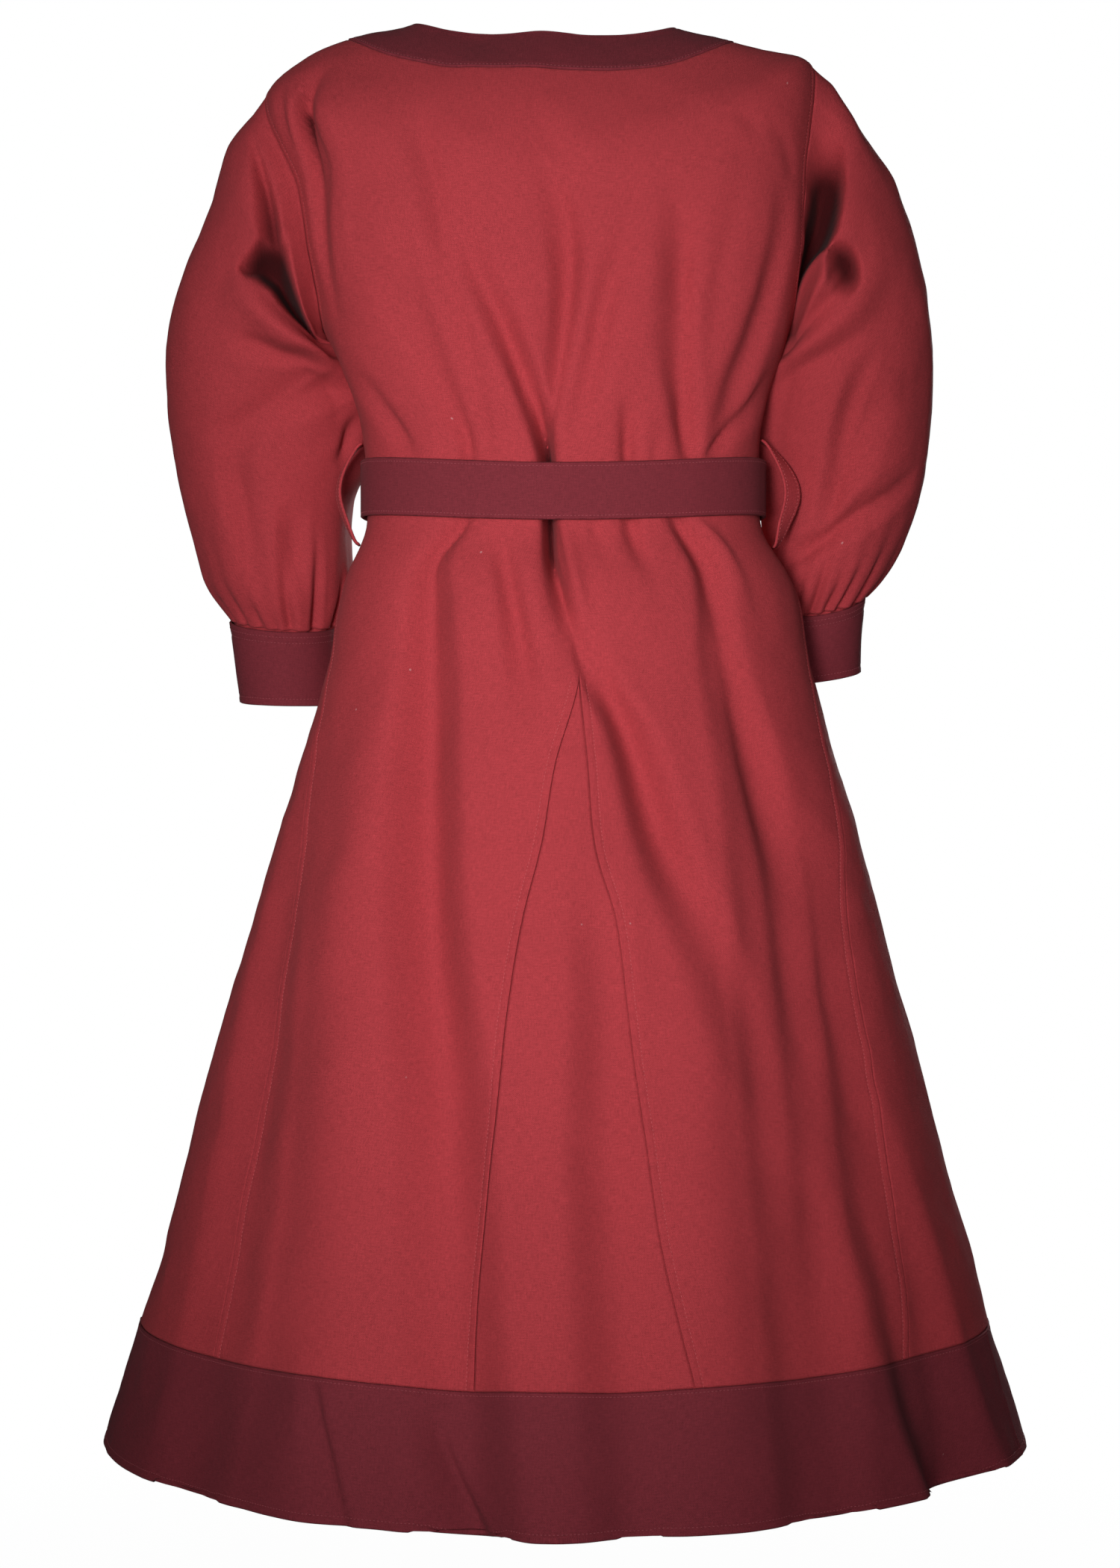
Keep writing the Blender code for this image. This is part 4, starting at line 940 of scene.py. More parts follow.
def gathers(side, share, turn):
    """The tight folds above a cuff: each starts at its own place and is cut off by the cuff."""
    depth = 0.0
    table = CUFF_GATHERS[side]
    per_degree = per_degree_of(side, share)
    held = 1 - HELD_BACK * ease((share - 1 + CUFF_HOLD) / CUFF_HOLD)
    for place, start, deep, width in zip(*(table[name] for name in GATHER.split())):
        rise = ease((share - start) / (1 - start)) * held
        off = (turn - place + 180.0) % 360.0 - 180.0
        depth = depth + deep * rise * sharp(np.abs(off) * per_degree / width)
    return depth


def small_gathers(share, turn):
    """Shallow ripples round the sleeve's end, that wander a little off their even places."""
    rise = np.clip((share - 1 + GATHER_RISE) / GATHER_RISE, 0.0, 1.0)
    height = RIPPLE * GATHER_DEPTH * rise**2 * (1 - rise**8)
    wander = 1.3 * np.sin(2 * np.radians(turn) + 1.0) + 0.8 * np.sin(3 * np.radians(turn) + 2.1)
    return height * np.cos(GATHERS * np.radians(turn) + wander)


def depth_of_folds(side, share, turn, down_the_sleeve, across_it):
    """How far folds down a sleeve and folds across it push its cloth out."""
    per_degree = per_degree_of(side, share)
    depths = [fold_depth(f, "share", "turn", share, turn, per_degree) for f in down_the_sleeve]
    for f in across_it:
        depths.append(fold_depth(f, "turn", "share", turn % 360.0, share, SLEEVE_LENGTH, 2.0))
    return together(depths)


def pressed_in(side, share, turn):
    """How far the deep hollows push the sleeve's back straight forward."""
    return depth_of_folds(side, share, turn, LONG_HOLLOWS[side], CROSS_HOLLOWS[side])


def joined(body_form, side, share, turn):
    """The plain sleeve, grown out of the armhole of a form of the body."""
    plain = plain_sleeve(side, share, turn)
    start = body_form(*armhole(side, turn)) + plain - plain_sleeve(side, 0.0 * share, turn)
    join = ease(share / SLEEVE_JOIN)[..., None]
    return (1 - join) * start + join * plain


def sleeve(side, share, turn):
    """The sleeve joined to its armhole, with its folds, gathers and hollows.

    The first fold and the first bend of a solid sleeve mark its hollow, which pressed_in makes.
    """
    long_folds = SLEEVE_FOLDS[side][1:] + SLEEVE_CREASES[side]
    cross_folds = SLEEVE_BENDS[side][1:] + CROSS_CREASES[side]
    depth = unevenness(plain_sleeve(side, share, turn)) * ease(share / SLEEVE_SMOOTH)
    depth = depth + depth_of_folds(side, share, turn, long_folds, cross_folds)
    depth = depth + small_gathers(share, turn) + gathers(side, share, turn)

    def smooth_form(share, turn):
        return joined(plain_body, side, share, turn)

    out = side_sign(side) * normals_of(smooth_form, share, turn, SHARE_STEP)
    hollow = stack(0.0, pressed_in(side, share, turn), 0.0)
    return joined(body, side, share, turn) + depth[..., None] * out + hollow


CUFF_SHIFT = {"left": 0.0025, "right": 0.0}  # how far a cuff hangs outside its solid
CUFF_NARROWING = 0.001
CUFF_LEVELLING = 0.6  # how much of its drop at the back is gone at its lower edge


def cuff(side, share, turn):
    """A cuff from the sleeve's end (0) to its own lower edge (1)."""
    table, end, sign = SLEEVE[side], CUFF[side], side_sign(side)
    c, s = np.cos(np.radians(turn)), np.sin(np.radians(turn))
    top = {name: table[name][-1] for name in ("outer", "outer_down", "inner", "inner_down", "forward")}

    def at(name):
        return top[name] + share * (end[name] - top[name])

    half_depth = table["half_depth"][-1] - CUFF_NARROWING * share
    x = sign * ((at("outer") + at("inner")) / 2 + c * (at("outer") - at("inner")) / 2 + CUFF_SHIFT[side])
    level = (at("outer_down") + at("inner_down")) / 2 + c * (at("outer_down") - at("inner_down")) / 2
    drop = table["drop"][-1] * (1 - CUFF_LEVELLING * share)
    return stack(x, at("forward") + s * half_depth, -(level + s * drop))


# %% [markdown]
# ## How a seam is built
#
# At a seam one cloth lies over the other. The upper one ends in a folded edge that stands a
# little proud, with a groove where the topstitching pulls it down. The lower one runs on
# beneath it for the seam allowance. Points are packed close together near an edge, so that
# these small steps are real geometry, and lie about 3 to 4 mm apart elsewhere.

# %% Seam sizes
MM = 0.001
SHEET_WALL = 1.2 * MM
BAND_SHEET_WALL = 2.0 * MM
STEP = 3.0 * MM  # between points, away from the seams
PROUD = 0.45 * MM
PROUD_REACH = 8 * MM
STITCH_GROOVE = 0.35 * MM
GROOVE_WIDTH = 1.3 * MM
UNDER_GAP = 0.2 * MM  # between an upper cloth and the one beneath it
UNDER_SLOPE = 2.0 * MM
PANEL_STITCH = 4.5 * MM  # from the edge to its topstitching
ARMHOLE_STITCH = 3.6 * MM
# Distances of the points near an edge. A lower cloth's begin inside the seam, past the edge.
OVER_EDGE = np.array([0, 0.4, 0.9, 1.6, 2.5, 3.4, 4.1, 4.9, 5.8, 7.2, 9.4]) * MM
UNDER_EDGE = np.array([-5, -2.5, -0.4, 0.4, 1.0, 1.6, 2.4, 3.4, 4.8, 6.8, 9.4]) * MM


def over(distance, stitch=PANEL_STITCH):
    """How far the upper cloth stands out near its edge."""
    lip = PROUD * (1 - ease(distance / PROUD_REACH))
    return lip - STITCH_GROOVE * bump((distance - stitch) / GROOVE_WIDTH)


def under(distance, wall=SHEET_WALL):
    """How far the lower cloth dips to run on beneath an upper one that is wall thick."""
    return -(wall + UNDER_GAP) * (1 - ease((distance + UNDER_GAP) / UNDER_SLOPE))


def edge_places(lower):
    """Distances of the points near an edge: lower is 1 where it runs beneath its neighbour."""
    return OVER_EDGE + lower * (UNDER_EDGE - OVER_EDGE)


# %% Points along the rows of the body
FINE = 500
REACH = 6.0  # degrees past a piece's edges
EDGES_MEET = 2.6  # a row narrower than this many edges is squeezed
NARROW = 0.03  # a row narrower than this takes on even steps


def row_lengths(downs, start, end):
    """Finely spaced angles along each row, and the distance of each from the start angle."""
    shares = np.linspace(0.0, 1.0, FINE)
    angles = start[:, None] - REACH + shares * (end - start + 2 * REACH)[:, None]
    ring = body(np.repeat(downs[:, None], FINE, axis=1), angles)
    steps = np.linalg.norm(np.diff(ring, axis=1), axis=2)
    lengths = np.concatenate([np.zeros((len(downs), 1)), np.cumsum(steps, axis=1)], axis=1)
    zero = [np.interp(s, a, l) for s, a, l in zip(start, angles, lengths)]
    return angles, lengths - np.array(zero)[:, None]


def place_columns(downs, start, end, start_lower, end_lower, step):
    """Angles of a piece's columns, with their distances from its start and its end."""
    angles, lengths = row_lengths(downs, start, end)
    width = np.array([np.interp(e, a, l) for e, a, l in zip(end, angles, lengths)])
    edge = len(OVER_EDGE)
    middle = max(int(width.max() / step) - 4, 3)
    places = []
    for w, s, e in zip(width, start_lower, end_lower):
        squeeze = min(1.0, w / (EDGES_MEET * OVER_EDGE[-1]))
        near, far = edge_places(s), edge_places(e)
        near = np.where(near > 0, near * squeeze, near)
        far = np.where(far > 0, far * squeeze, far)
        row = np.concatenate([near, np.linspace(near[-1], w - far[-1], middle + 2)[1:-1], w - far[::-1]])
        even = np.linspace(near[0], w - far[0], 2 * edge + middle)
        share = ease(w / NARROW)
        places.append(share * row + (1 - share) * even)
    places = np.array(places)
    found = np.array([np.interp(p, l, a) for p, l, a in zip(places, lengths, angles)])
    return found, places, width[:, None] - places


def lines_between(top, bottom, top_lower, bottom_lower, extra=(), step=STEP):
    """The heights of a piece's rows, close together at its upper and lower edges."""
    near, far = top + edge_places(top_lower), bottom - edge_places(bottom_lower)[::-1]
    middle = np.linspace(near[-1], far[0], int((far[0] - near[-1]) / step) + 2)[1:-1]
    if len(extra):
        middle = middle[(middle < min(extra) - step / 3) | (middle > max(extra) + step / 3)]
        middle = np.sort(np.concatenate([middle, extra]))
    return np.concatenate([near, middle, far])


def distance_down(points, downs, line):
    """How far each point lies below the row at a height, measured along the cloth."""
    steps = np.linalg.norm(np.diff(points, axis=0), axis=2)
    lengths = np.concatenate([np.zeros((1, points.shape[1])), np.cumsum(steps, axis=0)])
    zero = np.array([np.interp(line, downs, column) for column in lengths.T])
    return lengths - zero[None, :]


def grid_normals(points, closed=False):
    """Outward normals of a grid whose rows run down and whose columns run round."""
    down_it = np.gradient(points, axis=0)
    if closed:
        round_it = np.roll(points, -1, axis=1) - np.roll(points, 1, axis=1)
    else:
        round_it = np.gradient(points, axis=1)
    return unit(np.cross(down_it, round_it))


print("points near an edge:", len(OVER_EDGE))

# %% [markdown]
# ## From points to a sheet with two faces
#
# A sheet is a grid of outer points. The inner side is the same grid one cloth thickness
# further in, and a narrow rounded rim joins the two along every free edge. Each corner keeps
# its place on the flat cloth, in metres, as the UV map. The weave is drawn on that map, so it
# follows the threads round every fold.

# %% A sheet of cloth
RIM_BULGE = 0.35


def vertex_normals(points, faces):
    corners = points[faces]
    flat = np.cross(corners[:, 2] - corners[:, 0], corners[:, 3] - corners[:, 1])
    total = np.zeros_like(points)
    for k in range(4):
        np.add.at(total, faces[:, k], flat)
    return unit(total)


def free_edges(faces, uv):
    """Edges that only one face uses, as pairs of points and of map places."""
    pairs = np.concatenate([faces[:, [k, (k + 1) % 4]] for k in range(4)])
    places = np.concatenate([uv[:, [k, (k + 1) % 4]] for k in range(4)])
    size = faces.max() + 1
    key, back = pairs[:, 0] * size + pairs[:, 1], pairs[:, 1] * size + pairs[:, 0]
    free = ~np.isin(key, back)
    return pairs[free], places[free]


def sheet_mesh(name, points, faces, uv, thickness, deep):
    """A mesh with an outer side, an inner side and a rounded rim.

    deep is 1 at points in the bottom of a deep fold; the cloth's material darkens its colour there by it, as
    painted shade.
    """
    count = len(points)
    out = vertex_normals(points, faces)
    edges, edge_uv = free_edges(faces, uv)
    along = points[edges[:, 1]] - points[edges[:, 0]]
    aside = np.zeros_like(points)
    for k in range(2):
        np.add.at(aside, edges[:, k], np.cross(unit(along), out[edges[:, k]]))
    rim = np.unique(edges)
    middle = points[rim] - thickness / 2 * out[rim] + RIM_BULGE * thickness * unit(aside[rim])
    at = np.zeros(count, int)
    at[rim] = 2 * count + np.arange(len(rim))
    a, b = edges.T
    upper = np.stack([b, a, at[a], at[b]], axis=1)
    lower = np.stack([at[b], at[a], a + count, b + count], axis=1)
    rim_uv = edge_uv[:, [1, 0, 0, 1]]
    every = np.concatenate([faces, faces[:, ::-1] + count, upper, lower])
    every_uv = np.concatenate([uv, uv[:, ::-1], rim_uv, rim_uv])
    mesh = bpy.data.meshes.new(name)
    verts = np.concatenate([points, points - thickness * out, middle])
    mesh.from_pydata(verts.tolist(), [], every.tolist())
    layer = mesh.uv_layers.new(name="cloth")
    layer.data.foreach_set("uv", every_uv.reshape(-1).astype(np.float32))
    # painted shade of deep folds, kept per point for the material
    shade = mesh.attributes.new("deep", "FLOAT", "POINT")
    shade.data.foreach_set("value", np.concatenate([deep, 0 * deep, deep[rim]]).astype(np.float32))
    mesh.shade_smooth()
    return mesh


# What each piece is cut to from flat cloth: width, length and area, in metres
CUTS = {
    "back_panel": (0.600, 0.784, 0.315),
    "front_panel": (0.620, 0.784, 0.328),
    "gore_back": (0.165, 0.414, 0.0355),
    "side_gore_left": (0.290, 0.471, 0.0775),
    "side_gore_right": (0.290, 0.471, 0.0775),
    "sleeve_left": (0.340, 0.350, 0.1054),
    "sleeve_right": (0.340, 0.350, 0.1000),
    "cuff_left": (0.215, 0.050, 0.01075),
    "cuff_right": (0.210, 0.050, 0.01050),
    "neck_band_back": (0.265, 0.070, 0.0105),
    "neck_band_front": (0.290, 0.090, 0.0140),
    "hem_band_back": (0.830, 0.076, 0.0615),
    "hem_band_front": (0.890, 0.076, 0.0665),
    "belt": (0.750, 0.033, 0.0245),
    "belt_loop_left": (0.011, 0.076, 0.00083),
    "belt_loop_right": (0.011, 0.088, 0.00096),
}
pieces = {}


def flat_area(points, faces):
    corners = points[faces]
    diagonals = np.cross(corners[:, 2] - corners[:, 0], corners[:, 3] - corners[:, 1])
    return float(np.linalg.norm(diagonals, axis=1).sum() / 2)


def sew(name, points, faces, uv, thickness, colour, deep=None):
    """The finished piece for one node: a sheet in place of its solid, whose area is printed beside the area
    it was cut to.
    """
    deep = np.zeros(len(points)) if deep is None else deep
    mesh = sheet_mesh(name + "_cloth", points, faces, uv, thickness, deep)
    piece = bpy.data.objects.new(name + "_cloth", mesh)
    bpy.context.scene.collection.objects.link(piece)
    width, length, area = CUTS[name]
    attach(piece, "root")
    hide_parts(name)
    pieces[name] = (piece, colour)
    print(name, 2 * len(mesh.polygons), "triangles, area", round(flat_area(points, faces), 4), "of", area)
    return piece


def grid_faces(rows, cols, closed=False):
    """Faces of a grid, and for each corner its row and its column."""
    r, c = np.meshgrid(np.arange(rows - 1), np.arange(cols if closed else cols - 1), indexing="ij")
    r, c = r.reshape(-1), c.reshape(-1)
    corner_rows = np.stack([r, r + 1, r + 1, r], axis=1)
    corner_cols = np.stack([c, c, c + 1, c + 1], axis=1)
    return corner_rows, corner_cols


def sew_grid(name, points, u, v, thickness, colour, closed=False, deep=None):
    """A piece from one grid of points, with map places u and v for its corners."""
    rows, cols = points.shape[:2]
    u, v = np.broadcast_arrays(u, v)
    corner_rows, corner_cols = grid_faces(rows, cols, closed)
    faces = corner_rows * cols + corner_cols % cols
    uv = np.stack([u[corner_rows, corner_cols], v[corner_rows, corner_cols]], axis=2)
    deep = None if deep is None else deep.reshape(-1)
    return sew(name, points.reshape(-1, 3), faces, uv, thickness, colour, deep)


# %% [markdown]
# ## Stitches
#
# Topstitching is a row of short dashes of thread, each sunk at both ends where it goes through
# the cloth. One stitch is copied along every seam at an even pitch. The rows are collected
# here while the pieces are made, and the stitches follow when all rows are known.

# %% Rows of stitches
PITCH = 2.3 * MM
stitch_rows = {"red": [], "wine": []}


def walk(line, normals, closed):
    """Even steps along a line of points: places, directions and normals."""
    if closed:
        line, normals = np.vstack([line, line[:1]]), np.vstack([normals, normals[:1]])
    length = np.concatenate([[0.0], np.cumsum(np.linalg.norm(np.diff(line, axis=0), axis=1))])
    at = np.arange(PITCH / 2, length[-1], PITCH)

    def read(values, where):
        return np.stack([np.interp(where, length, values[:, k]) for k in range(3)], axis=1)

    ahead = read(line, np.minimum(at + PITCH / 4, length[-1]))
    behind = read(line, np.maximum(at - PITCH / 4, 0.0))
    return read(line, at), unit(ahead - behind), unit(read(normals, at))


def stitch(colour, line, normals, closed=False):
    stitch_rows[colour].append(walk(line, normals, closed))


def line_at(grid, distance, value):
    """The line on a grid where a distance that grows along each row has a value."""
    return np.array([[np.interp(value, d, row[:, k]) for k in range(3)] for row, d in zip(grid, distance)])


def stitch_side(colour, points, normals, distance, value, rows):
    """A row of stitches at a distance from a side edge, on some of a grid's rows."""
    if distance[0, 0] > distance[0, -1]:
        points, normals, distance = points[:, ::-1], normals[:, ::-1], distance[:, ::-1]
    stitch(colour, line_at(points, distance, value)[rows], line_at(normals, distance, value)[rows])


def stitch_level(colour, points, normals, distance, value, closed=False):
    """A row of stitches at a distance below or above a level edge."""
    points, normals, distance = (x.swapaxes(0, 1) for x in (points, normals, distance))
    if distance[0, 0] > distance[0, -1]:
        points, normals, distance = points[:, ::-1], normals[:, ::-1], distance[:, ::-1]
    stitch(colour, line_at(points, distance, value), line_at(normals, distance, value), closed)


# %% [markdown]
# ## The front and back panels
#
# Both panels hang from the neckband. Their sides follow the shoulder, the armhole, the side
# seam and then the side gore, whose slit they leave open. The back panel is also slit in the
# middle, from the seat down, for the centre gore.

# %% Edges of the panels
# Where the two halves of the back meet above its gore
CENTRE_LINE = columns("down angle", [
    (0.03, 90.0), (0.15, 89.0), (0.29, 84.0), (BACK_GORE_TOP, BACK_GORE_ANGLE),
])
SEAM_FADE = 6 * MM  # over which a seam ends at an armhole
GORE_FADE = 4 * MM
SLIT_FADE = 8 * MM
UNDER_NECKBAND = (NECKBAND_EDGE, 1.0, PANEL_STITCH, BAND_SHEET_WALL)
UNDER_HEM_BAND = (BAND_SEAM, 1.0, PANEL_STITCH, BAND_SHEET_WALL)


def side_gore_edge(downs):
    return np.where(downs > SIDE_GORE_TOP, smooth(GORES, "side_gore", downs), 0.0)


def side_edge(downs):
    """Degrees from the side line to the panels' edge."""
    share = np.clip((downs - SHOULDER_TIP) / (UNDERARM - SHOULDER_TIP), 0.0, 1.0)
    hole = ARMHOLE_HALF_ANGLE * 2 * np.sqrt(share * (1 - share))
    return hole + side_gore_edge(downs)


def middle_edges(downs):
    """Degrees of the two sides of the line that the back gore opens."""
    line = np.interp(downs, CENTRE_LINE["down"], CENTRE_LINE["angle"])
    open_ = downs > BACK_GORE_TOP
    left = np.where(open_, smooth(GORES, "back_left", downs), line)
    right = np.where(open_, smooth(GORES, "back_right", downs), line)
    return left, right


def armhole_distance(points_down, angle):
    """Distance from the armhole's oval, on the cloth."""
    middle, half = (SHOULDER_TIP + UNDERARM) / 2, (UNDERARM - SHOULDER_TIP) / 2
    wide = np.radians(ARMHOLE_HALF_ANGLE) * CHEST_RADIUS
    across = np.radians(90.0 - np.abs(angle % 180.0 - 90.0)) * CHEST_RADIUS
    x, y = across / wide, (points_down - middle) / half
    reach = np.sqrt(x**2 + y**2)
    slope = np.sqrt((x / wide) ** 2 + (y / half) ** 2) / np.maximum(reach, 1e-6)
    return (reach - 1) / np.maximum(slope, 1e-6)


ARMHOLE_ROWS = 54
PANEL_STEP = 4.0 * MM


def panel_rows():
    turns = np.linspace(0.0, 180.0, ARMHOLE_ROWS + 1)
    extra = armhole("left", turns)[0]
    return lines_between(NECKBAND_EDGE, BAND_SEAM, 1.0, 1.0, extra, PANEL_STEP)


def seam_share(downs):
    """1 on the rows where a panel's side is a seam, 0 where it is the armhole."""
    return ease((SHOULDER_TIP - downs) / SEAM_FADE) + ease((downs - UNDERARM) / SEAM_FADE)


def front_is_lower(downs):
    """1 where the front's side edge runs beneath the back: shoulder and side seams."""
    return seam_share(downs) * (1 - ease((downs - SIDE_GORE_TOP + GORE_FADE) / GORE_FADE))


print("rows of a panel:", len(panel_rows()))


# %% Points of a piece of the body
# painted shade: the body's cloth is darkened in its creases between these depths
SLIT_START, SLIT_FULL = 7.0 * MM, 14.0 * MM  # depths at which a crease begins to be dark, and is darkest


class Edge:
    """One side of a piece: its angles, how far it runs beneath its neighbour (0 to 1), and
    how much of a seam it is (0 where an armhole or a whole cloth takes its place)."""

    def __init__(self, angles, lower, seam, stitch=PANEL_STITCH):
        self.angles, self.lower, self.seam, self.stitch = angles, lower, seam, stitch


def painted_slit_shade(grid, angles):
    """Where the creases of the body are deep enough to get painted shade."""
    depth = creases_of_body(grid, angles, np.radians(body_ring_radius(grid, angles)))
    return painted_cavity_shade(depth, SLIT_START, SLIT_FULL)


def piece_points(downs, start, end, top, bottom, wall=SHEET_WALL, armholes=False, step=STEP):
    """A piece's points and normals, its distances from its two sides, and its painted shade in deep creases.

    top and bottom are (height, lower, stitch, thickness of the cloth that lies over it).
    """
    edges = (start.angles, end.angles, start.lower, end.lower)
    angles, from_start, from_end = place_columns(downs, *edges, step)
    grid = np.repeat(downs[:, None], angles.shape[1], axis=1)
    points = body(grid, angles)
    normals = grid_normals(points)
    sinks, lips = [], []
    for edge, distance in ((start, from_start), (end, from_end)):
        sinks.append((edge.lower * edge.seam)[:, None] * under(distance, wall))
        lips.append(((1 - edge.lower) * edge.seam)[:, None] * over(distance, edge.stitch))
    for (height, lower, row, upper_wall), sign in ((top, 1), (bottom, -1)):
        distance = sign * distance_down(points, downs, height)
        sinks.append(lower * under(distance, upper_wall))
        lips.append((1 - lower) * over(distance, row))
    if armholes:
        distance = armhole_distance(grid, angles)
        lips.append(over(distance, ARMHOLE_STITCH))
    offset = np.minimum.reduce(sinks) + sum(lips)
    points = points + offset[..., None] * normals
    return points, grid_normals(points), from_start, from_end, painted_slit_shade(grid, angles)


# %% [markdown]
# The back panel is two halves of one cloth, joined down the middle as far as the gore's tip.
# Its shoulder and side edges lie over the front panel's.

# %% Back panel
def welded(grids, weld_rows):
    """Point numbers of two grids side by side that share a column on their first rows."""
    (a, b), shapes = grids, [g.shape[:2] for g in grids]
    left = np.arange(a.shape[0] * a.shape[1]).reshape(shapes[0])
    right = left.size + np.arange(b.shape[0] * b.shape[1]).reshape(shapes[1])
    right[:weld_rows, 0] = left[:weld_rows, -1]
    return left, right


def back_panel():
    downs = panel_rows()
    edge, seams, lower = side_edge(downs), seam_share(downs), np.zeros(len(downs))
    middle_left, middle_right = middle_edges(downs)
    slit = ease((downs - BACK_GORE_TOP) / SLIT_FADE)
    sides = [
        (Edge(edge, lower, seams), Edge(middle_left, lower, slit)),
        (Edge(middle_right, lower, slit), Edge(180.0 - edge, lower, seams)),
    ]
    limits = (UNDER_NECKBAND, UNDER_HEM_BAND)
    made = [piece_points(downs, a, b, *limits, armholes=True, step=PANEL_STEP) for a, b in sides]
    (left, left_out, l_start, l_end, l_painted_shade), (right, right_out, r_start, r_end, r_painted_shade) = made
    rows = int(np.sum(downs <= BACK_GORE_TOP))
    left_index, right_index = welded((left, right), rows)
    points = np.concatenate([left.reshape(-1, 3), right.reshape(-1, 3)])
    faces, uv = [], []
    for index, u in ((left_index, -l_end), (right_index, r_start)):
        corner_rows, corner_cols = grid_faces(*index.shape)
        faces.append(index[corner_rows, corner_cols])
        uv.append(np.stack([u[corner_rows, corner_cols], -downs[corner_rows]], axis=2))
    faces, uv = np.concatenate(faces), np.concatenate(uv)
    used, faces = np.unique(faces, return_inverse=True)
    deep = np.concatenate([l_painted_shade.reshape(-1), r_painted_shade.reshape(-1)])[used]
    faces = faces.reshape(-1, 4)
    sew("back_panel", points[used], faces, uv, SHEET_WALL, "red", deep)
    seam_rows = [downs < SHOULDER_TIP - MM, downs > UNDERARM + MM]
    for chosen in seam_rows:
        stitch_side("red", left, left_out, l_start, PANEL_STITCH, chosen)
        stitch_side("red", right, right_out, r_end, PANEL_STITCH, chosen)
    in_gore = downs > BACK_GORE_TOP + SEAM_FADE
    stitch_side("red", left, left_out, l_end, PANEL_STITCH, in_gore)
    stitch_side("red", right, right_out, r_start, PANEL_STITCH, in_gore)


back_panel()

# %% [markdown]
# The front panel is cut like the back one, without a gore. Its shoulders and sides run on
# beneath the back panel, and below them it lies over the side gores.

# %% Front panel
def front_panel():
    downs = panel_rows()
    edge, lower, seams = side_edge(downs), front_is_lower(downs), seam_share(downs)
    edges = (Edge(180.0 + edge, lower, seams), Edge(360.0 - edge, lower, seams))
    limits = (UNDER_NECKBAND, UNDER_HEM_BAND)
    points, out, a, b, deep = piece_points(downs, *edges, *limits, armholes=True, step=PANEL_STEP)
    u, v = (a - b) / 2, -downs[:, None]
    sew_grid("front_panel", points, u, v, SHEET_WALL, "red", deep=deep)
    below = downs > SIDE_GORE_TOP + GORE_FADE
    stitch_side("red", points, out, a, PANEL_STITCH, below)
    stitch_side("red", points, out, b, PANEL_STITCH, below)


front_panel()

# %% [markdown]
# Gores are the triangles that give the skirt its swing. Each is tucked under the panels along
# both of its long sides, and ends beneath the hem band.

# %% Gores
def gore(name, tip, start_angles, end_angles):
    downs = lines_between(tip, BAND_SEAM, 1.0, 1.0)
    whole = np.ones(len(downs))
    start, end = (Edge(angles(downs), whole, whole) for angles in (start_angles, end_angles))
    top = (tip, 1.0, PANEL_STITCH, SHEET_WALL)
    points, _, a, b, _ = piece_points(downs, start, end, top, UNDER_HEM_BAND)
    sew_grid(name, points, (a - b) / 2, -downs[:, None], SHEET_WALL, "red")


gore("side_gore_left", SIDE_GORE_TOP, lambda d: -side_gore_edge(d), side_gore_edge)
gore("side_gore_right", SIDE_GORE_TOP, lambda d: 180 - side_gore_edge(d), lambda d: 180 + side_gore_edge(d))
gore("gore_back", BACK_GORE_TOP, lambda d: middle_edges(d)[0], lambda d: middle_edges(d)[1])

# %% [markdown]
# The neckband is a shaped facing, turned to the outside and stitched down close to its lower
# edge. The hem band is a straight double strip, edge-stitched along the seam and stitched
# again a little above the hem. The halves of both meet at the sides.

# %% Neckband and hem band
EDGE_STITCH = 1.6 * MM
HEM_STITCH = 4.2 * MM


def band(name, top, bottom, start, end, lower, bottom_stitch):
    """A band from one side of the body round to the other."""
    downs = lines_between(top, bottom, 0.0, 0.0)
    whole = np.ones(len(downs))
    edges = [Edge(angle * whole, lower * whole, whole, EDGE_STITCH) for angle in (start, end)]
    limits = [(top, 0.0, EDGE_STITCH, 0.0), (bottom, 0.0, bottom_stitch, 0.0)]
    points, out, a, b, _ = piece_points(downs, *edges, *limits, wall=BAND_SHEET_WALL)
    u, v = (a - b) / 2, -downs[:, None]
    sew_grid(name, points, u, v, BAND_SHEET_WALL, "wine")
    return points, out, downs


def stitch_band(made, heights):
    points, out, downs = made
    for height, sign, distance in heights:
        from_edge = sign * distance_down(points, downs, height)
        stitch_level("wine", points, out, from_edge, distance)


NECK_TOP = BODY["down"][0]
neck = [
    band("neck_band_back", NECK_TOP, NECKBAND_EDGE, 0.0, 180.0, 0.0, EDGE_STITCH),
    band("neck_band_front", NECK_TOP, NECKBAND_EDGE, 180.0, 360.0, 1.0, EDGE_STITCH),
]
for made in neck:
    stitch_band(made, [(NECKBAND_EDGE, -1, EDGE_STITCH)])
right_seam = HEM_BAND_RIGHT_SEAM
hem = [
    band("hem_band_back", BAND_SEAM, HEM, 0.0, right_seam, 0.0, HEM_STITCH),
    band("hem_band_front", BAND_SEAM, HEM, right_seam, 360.0, 1.0, HEM_STITCH),
]
for made in hem:
    stitch_band(made, [(BAND_SEAM, 1, EDGE_STITCH), (HEM, -1, HEM_STITCH)])

# %% [markdown]
# A sleeve's top runs on beneath the body's cloth, all round the armhole, and its wide lower
# end is gathered and runs on beneath the cuff. The cuff is a double band.

# %% Sleeves and cuffs
SLEEVE_COLUMNS, SLEEVE_ROWS = 190, 122
SLEEVE_TUCKED = (5.0 * MM, 2.5 * MM, 0.8 * MM)  # how far its top rows lie inside the body
TUCK_GAP = 0.3 * MM
TUCKED_IN_CUFF = 0.05  # share of the cuff that its last row reaches down
CUFF_COLUMNS, CUFF_MIDDLE_ROWS = 112, 12
CUFF_STITCHES = (3.0 * MM, 7.0 * MM)
CUFF_EVEN = 0.6  # share of the cloth's unevenness that is left in a stiff cuff
ARMHOLE_POINTS = 160


def round_turns(count):
    return SLEEVE_SEAM + np.arange(count) * 360.0 / count


